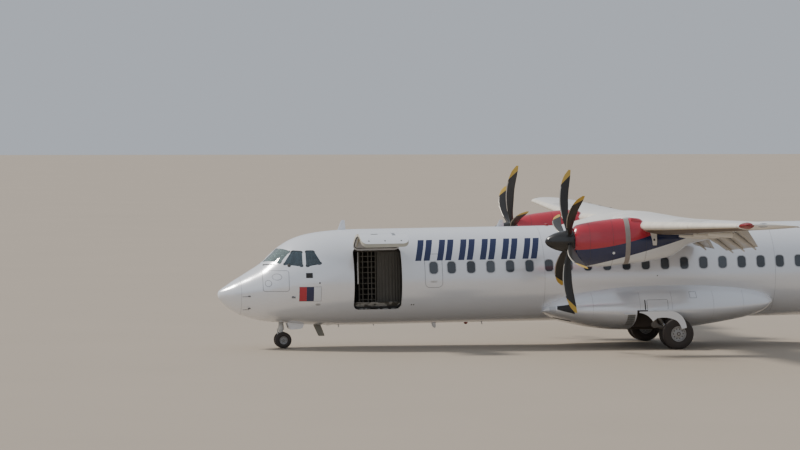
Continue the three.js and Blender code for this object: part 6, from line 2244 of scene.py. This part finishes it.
class AIRLINER_OT_marks(bpy.types.Operator):
    """Painted motifs, hatch and door outlines, ports and handles of the skins"""

    bl_idname = "airliner.marks"
    bl_label = "Marks and hatches"

    def execute(self, context):
        for name, side in SIDES:
            strokes = Shape()
            for k in range(MOTIF["count"]):
                x0 = MOTIF["first"] + MOTIF["pitch"] * k
                for start in (x0, x0 + MOTIF["stroke"] + MOTIF["gap"]):
                    end = start + MOTIF["stroke"]
                    corners = slanted(start, end, MOTIF["z0"], MOTIF["z1"], MOTIF["lean"])
                    strokes.quad(FUSELAGE, corners, side, 0.0012)
            piece(f"side_motif_{name}", strokes.mesh(), [mark_paint("motif_navy", colours().navy)],
                  slot="white_paint")
            self.add_plaque(name, side)
            self.add_tail_motif(name, side)
            lines = Shape()
            boxes = [EXIT, NOSE_HATCH] + ([SERVICE] if side > 0 else [])
            for box in boxes:
                lines.mould(FUSELAGE, box_outline(box), side, SEAM)
            for x, z, radius, flat in ((1.538, 2.177, 0.125, 0.68), (1.307, 2.0, 0.085, 1.0)):
                turn = np.linspace(0, 2 * np.pi, 33)[:-1]
                oval = [(x + radius * math.cos(a), z + radius * flat * math.sin(a)) for a in turn]
                lines.mould(FUSELAGE, oval, side, SEAM)
            for x in (RADOME_END, *SECTION_JOINTS[2:]):
                lines.strip(*ring_line(FUSELAGE, x, 0, 180 if x == RADOME_END else 150, side),
                            FINE_SEAM, closed=False)
            piece(f"hatch_lines_{name}", lines.mesh(), [seam_grey()], slot="tyre_rubber")
            dark = Shape()
            dark.quad(FUSELAGE, slanted(2.311, 2.493, 2.145, 2.284), side, 0.004)
            for x, z, radius in ((2.68, 2.005, 0.022), (5.257, 1.349, 0.018), (5.319, 1.348, 0.018),
                                 (1.875, 2.49, 0.045), (12.2, 2.02, 0.016), (17.4, 1.6, 0.018)):
                dark.round_patch(FUSELAGE, x, z, side, radius, 0.006)
            dark.round_patch(FUSELAGE, 2.642, 1.403, side, 0.07, 0.0015, 1, flat=0.45)
            piece(f"skin_ports_{name}", dark.mesh(),
                  [black_hose(), plain("worn_patch", (0.4, 0.4, 0.4, 1), 0.6)],
                  slot="black_composite")
            handle = Shape()
            for x, z in ((EXIT_WINDOW_X, 1.98), (20.5, 2.05))[:2 if side > 0 else 1]:
                handle.quad(FUSELAGE, slanted(x - 0.09, x + 0.09, z - 0.025, z + 0.025), side, 0.0025)
            piece(f"exit_handle_{name}", handle.mesh(), [bare_metal()], slot="gear_metal")
            self.add_fairing_marks(name, side)
        return {"FINISHED"}

    def add_plaque(self, name, side):
        """A framed plaque of three upright bars in the livery colours"""
        bars = Shape()
        for k in range(3):
            x0 = PLAQUE["x0"] + 0.198 * k
            bars.quad(FUSELAGE, slanted(x0, x0 + 0.197, PLAQUE["z0"], PLAQUE["z1"]), side, 0.0012, k)
        bars.mould(FUSELAGE, box_outline(PLAQUE), side, band(0.004, 0, 0.002), 3)
        finishes = [mark_paint("plaque_red", colours().red), mark_paint("motif_navy", colours().navy),
                    mark_paint("plaque_white", colours().white), seam_grey()]
        piece(f"plaque_{name}", bars.mesh(), finishes, slot="white_paint")

    def add_tail_motif(self, name, side):
        """Nested open chevrons, each with a small diamond at its foot"""
        def surface(x, z, lift):
            return on_fin(x, z, side, lift)

        marks = Shape()
        for foot, wide, tall in CHEVRONS:
            for way in (-1, 1):
                inner, outer = CHEVRON_X + way * 0.03, CHEVRON_X + way * wide
                low, high = (inner, foot), (outer, foot + tall)
                corners = (low, high, (high[0], high[1] + 0.15), (low[0], low[1] + 0.15))
                marks.plate(surface, corners if way > 0 else [corners[k] for k in (1, 0, 3, 2)], 0.0012)
            marks.plate(surface, ((CHEVRON_X - 0.055, foot + 0.26), (CHEVRON_X, foot + 0.2),
                                  (CHEVRON_X + 0.055, foot + 0.26), (CHEVRON_X, foot + 0.32)), 0.0016, 1)
        finishes = [mark_paint("plaque_white", colours().white),
                    mark_paint("motif_blue", (0.02, 0.09, 0.42, 1))]
        piece(f"tail_motif_{name}", marks.mesh(), finishes, slot="white_paint")

    def add_fairing_marks(self, name, side):
        """Inlets and slits drawn as black plates of painted shade, and the panel, ledge, vent and joints of
        the belly fairing
        """
        # Black plates painted where the inlet, slit and slot openings hold shade
        dark = Shape().quad(GEAR_FAIRING, INLET, side, 0.002).quad(GEAR_FAIRING, SLIT, side, 0.002)
        dark.quad(GEAR_FAIRING, WELL_SLOT, side, 0.004)
        piece(f"fairing_inlet_{name}", dark.mesh(), [seal_rubber()], slot="black_composite")
        panel = Shape().quad(GEAR_FAIRING, WELL_PANEL, side, 0.014)
        ledge_y = float(on_skin(GEAR_FAIRING, 11.3, 0.985, side)[1])
        panel.box(11.13, 11.5, ledge_y - side * 0.03, ledge_y + side * 0.05, 0.982, 0.996)
        piece(f"fairing_panel_{name}", panel.mesh(), [white_paint()], slot="white_composite")
        vent = Shape().quad(GEAR_FAIRING, VENT, side, 0.003)
        for k in range(5):
            z = 0.69 + 0.055 * k
            vent.quad(GEAR_FAIRING, ((11.265, z), (11.445, z), (11.445, z + 0.02), (11.265, z + 0.02)), side,
                      0.012, 1)
        piece(f"fairing_vent_{name}", vent.mesh(),
              [plain("vent_grey", (0.25, 0.25, 0.24, 1), 0.5), bare_metal()],
              slot="gear_metal")
        lines = Shape()
        for box in (FAIRING_HATCH, WELL_HATCH):
            lines.mould(GEAR_FAIRING, box_outline(box), side, SEAM)
        for x, low in ((10.3, 0.8), (11.59, 1.1), (12.498, 1.1), (13.702, 0.8), (14.6, 1.0)):
            lines.mould(GEAR_FAIRING, [(x, low), (x, 1.58)], side, FINE_SEAM, closed=False)
        piece(f"fairing_lines_{name}", lines.mesh(), [seam_grey()], slot="tyre_rubber")


def ring_line(table, x, start, end, side, middle=0.0, steps=60):
    """Points and outward directions round a section, by degrees from the top"""
    top, bottom, half, wide = (float(v) for v in section(table, x))
    angle = np.radians(np.linspace(start, end, steps))
    y = side * half * np.sin(angle)
    z = wide + np.where(np.cos(angle) > 0, top - wide, wide - bottom) * np.cos(angle)
    stations = np.full(len(y), x)
    return np.stack([stations, middle + y, z], -1), skin_normal(table, stations, y, z)


class AIRLINER_OT_fittings(bpy.types.Operator):
    """Probes, aerials, lights, drains, jacking pads and static wicks"""

    bl_idname = "airliner.fittings"
    bl_label = "Aerials, probes and lights"

    def execute(self, context):
        probes = Shape()
        for _, side in SIDES:
            for x, z in ((0.79, 1.645), (0.8, 1.303)):
                root = Vector(on_skin(FUSELAGE, x, z, side, -0.01))
                out = Vector(on_skin(FUSELAGE, x, z, side, 0.055))
                probes.pipe([root, out - Vector((-0.01, 0, 0)), out + Vector((-0.06, 0, 0)),
                             out + Vector((-0.16, 0, 0))], 0.008, 14)
                probes.round_patch(FUSELAGE, x + 0.01, z, side, 0.04, 0.006, flat=0.55)
            probes.round_patch(FUSELAGE, 1.95, 1.62, side, 0.03, 0.008)
            x, y, z = on_skin(FUSELAGE, 1.95, 1.62, side, 0.03)
            probes.box(x - 0.02, x + 0.08, y - 0.006, y + 0.006, z - 0.02, z + 0.02)
        piece("air_probes", probes.mesh(), [plain("probe_grey", (0.2, 0.2, 0.21, 1), 0.4, metal=0.4)],
              slot="gear_metal")
        self.add_aerials()
        self.add_lights()
        pads = Shape()
        for _, x, y, z in JACK_PADS:
            pads.tube((x, y, z), (x, y, z + 0.1), 0.05, sides=40)
        piece("jacking_pads", pads.mesh(), [bare_metal()], slot="gear_metal")
        self.add_wicks()
        return {"FINISHED"}

    def add_aerials(self):
        """Blade aerials, the belly's wire aerials and its drains"""
        # Rows: name, finish, slot, node, and rings of height, leading and trailing edge, thickness
        blades = (
            ("roof_aerial", white_paint(), "white_composite", ["antenna_top"],
             ((3.39, 3.38, 3.62, 0.022), (3.5, 3.425, 3.615, 0.02), (3.66, 3.488, 3.602, 0.014),
              (3.69, 3.51, 3.59, 0.004))),
            ("belly_aerial", plain("aerial_grey", (0.27, 0.26, 0.22, 1), 0.6), "grey_aerial",
             ["antenna_belly"],
             ((0.8, 2.66, 2.87, 0.024), (0.6, 2.75, 2.945, 0.02), (0.48, 2.806, 2.99, 0.014),
              (0.462, 2.83, 2.98, 0.004))),
            ("rear_roof_aerial", white_paint(), "white_composite", [],
             ((3.4, 7.9, 8.12, 0.022), (3.52, 7.95, 8.115, 0.018), (3.62, 8.0, 8.1, 0.004))),
            ("belly_mast", white_paint(), "white_composite", [],
             ((0.78, 6.0, 6.14, 0.02), (0.66, 6.05, 6.15, 0.016), (0.62, 6.09, 6.14, 0.004))),
        )
        for name, finish, slot_name, nodes, rows in blades:
            rings = []
            for z, front, back, thick in rows:
                flat = foil_outline(back - front, thick)
                rings.append(np.stack([front + flat[:, 0], flat[:, 1], np.full(len(flat), z)], -1))
            piece(name, Shape().loft(rings).mesh(), [finish], slot=slot_name, replaces=nodes)
        wires = Shape()
        for y in (-0.35, 0.35):
            wires.pipe([(16.9, y, 0.8), (16.95, y, 0.68), (17.7, y, 0.66), (17.76, y, 0.86)], 0.012, 10)
        for x, y in ((3.35, -0.1), (4.4, 0.3), (7.4, -0.2), (18.9, 0.0)):
            low = float(section(FUSELAGE, x)[1])
            wires.tube((x, y, low + 0.05), (x + 0.03, y, low - 0.06), 0.022, 0.014, 16)
        piece("belly_drains", wires.mesh(), [bare_metal()], slot="gear_metal")

    def lens_outline(self, chord, thick):
        """The wing tip's lens as a band round the leading edge"""
        return foil_band(chord, thick, 0.13, 0.16, 0.006, WING_BEND[1])

    def add_lights(self):
        """Beacons, tail light, tip lights, strobes and landing lights"""
        red = glass("red_lens", (0.42, 0.03, 0.035, 1), 0.5)
        green = glass("green_lens", (0.02, 0.35, 0.12, 1), 0.5)
        clear = glass("clear_lens", (0.9, 0.92, 0.95, 1), 0.5)
        dome = [(-0.02, 0.05), (0.0, 0.062), (0.03, 0.055), (0.055, 0.035), (0.066, 0.0)]
        beacons = Shape().lathe(dome, (9.35, 0, 3.425), (0, 0, 1), 32)
        beacons.lathe(dome, (7.0, 0, 0.765), (0, 0, -1), 32)
        piece("beacons", beacons.mesh(), [red], slot="window_glass")
        rear = Shape().lathe([(-0.03, 0.045), (0.0, 0.05), (0.03, 0.035), (0.045, 0)], (27.14, 0, 2.66),
                             (1, 0, 0), 28)
        piece("tail_light", rear.mesh(), [clear], slot="window_glass")
        for name, side in SIDES:
            span = (13.28, float(WING[-1, 0]))
            lens = Shape().loft(span_rings(WING, WING_BEND, *span, side, self.lens_outline, WING_ROUND))
            piece(f"tip_light_{name}", lens.mesh(), [red if side < 0 else green], slot="window_glass")
            strobe = Shape()
            rings = []
            for share in np.linspace(-1, 1, 13):
                size = math.sqrt(max(0.0, 1 - share ** 2))
                turn = np.linspace(0, 2 * np.pi, 24, endpoint=False)
                if size < 0.01:
                    rings.append([(12.15 + 0.17 * share, side * 13.47, 3.79)])
                    continue
                rings.append([(12.15 + 0.17 * share, side * (13.47 + 0.05 * size * math.cos(a)),
                               3.79 + 0.06 * size * math.sin(a)) for a in turn])
            piece(f"strobe_{name}", strobe.loft(rings).mesh(), [clear], slot="window_glass")
            lamp = Shape().quad(GEAR_FAIRING, LANDING_LIGHT, side, 0.003)
            piece(f"landing_light_{name}", lamp.mesh(), [clear], slot="window_glass")

    def add_wicks(self):
        """Thin rods on the trailing edges, each on the surface that it belongs to"""
        for name, side in SIDES:
            for body, table, spans in ((f"aileron_{name}", WING, (10.2, 11.4, 12.6)),
                                       (f"elevator_{name}", TAILPLANE, (1.6, 2.5, 3.3))):
                wicks = Shape()
                bend_of = WING_BEND if table is WING else TAIL_BEND
                for y in spans:
                    x, z, chord, _ = span_row(table, y)
                    back = Vector((x + chord, side * y, z - chord * bend_of[0]))
                    wicks.tube(back - Vector((0.04, 0, 0)), back + Vector((0.14, 0, -0.01)), 0.004, sides=8)
                piece(f"{body}_wicks", wicks.mesh(), [black_hose()], body, "black_composite")
        wicks = Shape()
        for z in (4.4, 5.2, 6.0):
            back = float(columns_at(FIN, z)[1])
            wicks.tube((back - 0.04, 0, z), (back + 0.14, 0, z - 0.02), 0.004, sides=8)
        piece("rudder_wicks", wicks.mesh(), [black_hose()], "rudder", "black_composite")


class AIRLINER_OT_wing_fittings(bpy.types.Operator):
    """Flap hinge fairings, and the nacelles' bands, caps, scoops, marks, exhausts and intake lips"""

    bl_idname = "airliner.wing_fittings"
    bl_label = "Wing and nacelle fittings"

    def execute(self, context):
        for name, side in SIDES:
            fixed = Shape()
            moving = {"flap_inner": Shape(), "flap_outer": Shape()}
            for y, flap in TRACKS:
                x, z, chord, ratio = span_row(WING, y)
                thick = chord * ratio
                fixed.loft(self.track_rings(x, z, chord, thick, side * y, (0.3, 0.36, 0.44, 0.52, 0.605)))
                moving[flap].loft(self.track_rings(x, z, chord, thick, side * y,
                                                   (0.69, 0.78, 0.88, 0.97, 1.035)))
            piece(f"flap_tracks_{name}", fixed.mesh(), [cream_paint()], slot="white_paint")
            for flap, shape in moving.items():
                body = f"{flap}_{name}"
                piece(f"{body}_tracks", shape.mesh(), [flap_paint()], body, "white_paint",
                      move=lowered(body))
            self.add_nacelle(name, side)
        for node_name in ("engine_left", "engine_right"):
            block = frame["nodes"][node_name].data
            block.materials.clear()
            block.materials.append(dark_steel())
        return {"FINISHED"}

    def track_rings(self, x, z, chord, thick, y, shares):
        """Sections of a slim fairing under the wing, deepest at the flap hinge"""
        rings = []
        for share in shares:
            under = z - share * chord * WING_BEND[0] - float(half_thickness(min(share, 0.98))) * thick
            fall = 0.17 * (1 - abs(share - 0.64) / 0.46) ** 0.8 + 0.004
            half = 0.055 * (1 - (abs(share - 0.64) / 0.48) ** 2) + 0.004
            turn = np.linspace(0, 2 * np.pi, 20, endpoint=False)
            rings.append([(x + share * chord, y + half * math.sin(a),
                           under + 0.012 - fall * 0.5 + fall * 0.5 * math.cos(a)) for a in turn])
        return rings

    def add_nacelle(self, name, side):
        """A nacelle's band, cap, scoops, marks, exhaust fairing and intake lip"""
        y = side * PROP["y"]
        strap = Shape().strip(*ring_line(NACELLE, BAND_X, -178, 178, side, y, 90),
                              ((-0.068, -0.002), (-0.066, 0.006), (0.066, 0.006), (0.068, -0.002)),
                              closed=False)
        piece(f"cowl_band_{name}", strap.mesh(), [plain("band_beige", (0.3, 0.27, 0.25, 1), 0.6)],
              slot="engine_metal")
        cap = Shape().lathe([(-0.06, 0.13), (0.0, 0.13), (0.03, 0.1), (0.045, 0.05), (0.05, 0)],
                            (BAND_X, y, 3.725), (0, 0, 1), 32)
        piece(f"cowl_cap_{name}", cap.mesh(), [cream_paint()], slot="white_composite")
        scoop = Shape()
        for way in (-1, 1):
            rings = []
            flat = rounded(0.14, 0.1, 0.045)
            for x, tall in ((10.83, 1.1), (10.86, 1.3), (10.98, 1.1), (11.1, 0.3)):
                root = float(section(NACELLE, x)[0]) - 0.06
                rings.append([(x, y + way * 0.17 + a, root + b * tall) for a, b in flat])
            scoop.loft(rings)
        piece(f"cowl_scoops_{name}", scoop.mesh(), [nacelle_paint()], slot="engine_cowl")
        marks = Shape()
        for x in (9.65, 10.28, 11.2):
            for flank in (side, -side):
                marks.strip(*ring_line(NACELLE, x, 12, 170, flank, y), FINE_SEAM, closed=False)
        marks.round_patch(NACELLE, 10.295, 2.8, side, 0.036, 0.004, 1, y)
        piece(f"cowl_marks_{name}", marks.mesh(),
              [seal_rubber(), mark_paint("plaque_white", colours().white)],
              slot="engine_cowl")
        stub = Shape().quad(NACELLE, EXHAUST, side, 0.05, middle=y)
        stub.round_patch(NACELLE, 11.4, 3.14, side, 0.03, 0.053, 1, y)
        piece(f"exhaust_fairing_{name}", stub.mesh(), [cream_paint(), black_hose()], slot="engine_metal")
        lip = Shape()
        rings = []
        middle = (INTAKE["low"] + INTAKE["high"]) / 2
        for x, grow in ((9.315, 0.012), (9.292, 0.008), (9.282, 0.0), (9.292, -0.006), (9.37, -0.008),
                        (9.37, 0.012)):
            rings.append([(x + 0.06, y + a, middle + b) for a, b in intake_outline(grow)])
        piece(f"intake_lip_{name}", lip.loft(rings, hoop=True).mesh(), [bare_metal()], slot="engine_metal")


# Stage

CAMERA = {
    "place": (-27.498, -114.466, 6.933),
    "yaw": 9.455, "pitch": -1.736, "roll": 0.054,
    "focal_px": 4146.9, "frame_px": 800.0, "sensor": 36.0,
}


class AIRLINER_OT_stage(bpy.types.Operator):
    """Pale floor, soft lights and the camera at the photograph's viewing angle"""

    bl_idname = "airliner.stage"
    bl_label = "Studio stage"

    def execute(self, context):
        material, tree, shader = new_material("studio_floor", 0.75)
        place = object_place(tree)
        cloud = noise(tree, place, 0.15, 5.0)
        floor = colours().floor
        shade = tuple(v * 0.92 for v in floor[:3]) + (1,)
        link(tree, blend(tree, cloud, shade, tuple(floor)), shader.inputs["Base Color"])
        mesh = bpy.data.meshes.new("studio_floor")
        half = 400.0
        corners = [(-half, -half, 0), (half, -half, 0), (half, half, 0), (-half, half, 0)]
        mesh.from_pydata(corners, [], [(0, 1, 2, 3)])
        mesh.materials.append(material)
        ground = bpy.data.objects.new("studio_floor", mesh)
        context.scene.collection.objects.link(ground)
        world = bpy.data.worlds.new("studio")
        world.use_nodes = True
        back = world.node_tree.nodes["Background"]
        back.inputs["Color"].default_value = (0.8, 0.86, 0.95, 1)
        back.inputs["Strength"].default_value = 0.58
        context.scene.world = world
        # Broad hazy lamps: name, direction it shines from, strength, spread in degrees, colour
        lamps = (
            ("key", (-0.62, 0.36, 0.72), 3.5, 10, (1.0, 0.95, 0.88)),
            ("fill", (-0.4, -0.8, 0.45), 0.2, 60, (0.86, 0.92, 1.0)),
        )
        for name, source, strength, spread, colour in lamps:
            lamp = bpy.data.lights.new(name, "SUN")
            lamp.energy = strength
            lamp.angle = math.radians(spread)
            lamp.color = colour
            holder = bpy.data.objects.new(name, lamp)
            holder.location = Vector(source) * 80
            holder.rotation_euler = (-Vector(source)).to_track_quat("-Z", "Y").to_euler()
            context.scene.collection.objects.link(holder)
        self.add_camera(context)
        return {"FINISHED"}

    def add_camera(self, context):
        """The camera that was solved from the photograph"""
        yaw, pitch, roll = (math.radians(CAMERA[key]) for key in ("yaw", "pitch", "roll"))
        ahead = Vector((math.sin(yaw) * math.cos(pitch), math.cos(yaw) * math.cos(pitch), math.sin(pitch)))
        right = Vector((math.cos(yaw), -math.sin(yaw), 0))
        up = right.cross(ahead)
        turned = right * math.cos(roll) + up * math.sin(roll)
        up = turned.cross(ahead)
        data = bpy.data.cameras.new("camera")
        data.sensor_width = CAMERA["sensor"]
        data.lens = CAMERA["focal_px"] / CAMERA["frame_px"] * CAMERA["sensor"]
        data.clip_end = 1000
        camera = bpy.data.objects.new("camera", data)
        axes = Matrix((turned, up, -ahead)).transposed().to_4x4()
        camera.matrix_world = Matrix.Translation(CAMERA["place"]) @ axes
        context.scene.collection.objects.link(camera)
        context.scene.camera = camera


CLASSES = (
    AirlinerColours,
    AirlinerSizes,
    AIRLINER_OT_stage,
    AIRLINER_OT_fuselage,
    AIRLINER_OT_windows,
    AIRLINER_OT_wing,
    AIRLINER_OT_flaps,
    AIRLINER_OT_nacelles,
    AIRLINER_OT_propellers,
    AIRLINER_OT_gear_fairing,
    AIRLINER_OT_tail,
    AIRLINER_OT_main_gear,
    AIRLINER_OT_nose_gear,
    AIRLINER_OT_cargo_door,
    AIRLINER_OT_rear_entry,
    AIRLINER_OT_flight_deck,
    AIRLINER_OT_marks,
    AIRLINER_OT_fittings,
    AIRLINER_OT_wing_fittings,
)
STEPS = [made.bl_idname for made in CLASSES if hasattr(made, "bl_idname")]


class AIRLINER_PT_sidebar(bpy.types.Panel):
    """Lists the steps that build the airliner"""

    bl_label = "Airliner"
    bl_idname = "AIRLINER_PT_sidebar"
    bl_space_type = "VIEW_3D"
    bl_region_type = "UI"
    bl_category = "Airliner"

    def draw(self, context):
        for group in (context.scene.airliner_colours, context.scene.airliner_sizes):
            for key in group.bl_rna.properties.keys():
                if key not in ("rna_type", "name"):
                    self.layout.prop(group, key)
        for step in STEPS:
            self.layout.operator(step)


def register():
    for made in (*CLASSES, AIRLINER_PT_sidebar):
        bpy.utils.register_class(made)
    bpy.types.Scene.airliner_colours = bpy.props.PointerProperty(type=AirlinerColours)
    bpy.types.Scene.airliner_sizes = bpy.props.PointerProperty(type=AirlinerSizes)


def unregister():
    del bpy.types.Scene.airliner_sizes
    del bpy.types.Scene.airliner_colours
    for made in reversed((*CLASSES, AIRLINER_PT_sidebar)):
        bpy.utils.unregister_class(made)


def main():
    register()
    for step in STEPS:
        family, name = step.split(".")
        getattr(getattr(bpy.ops, family), name)()


if __name__ == "__main__":
    main()
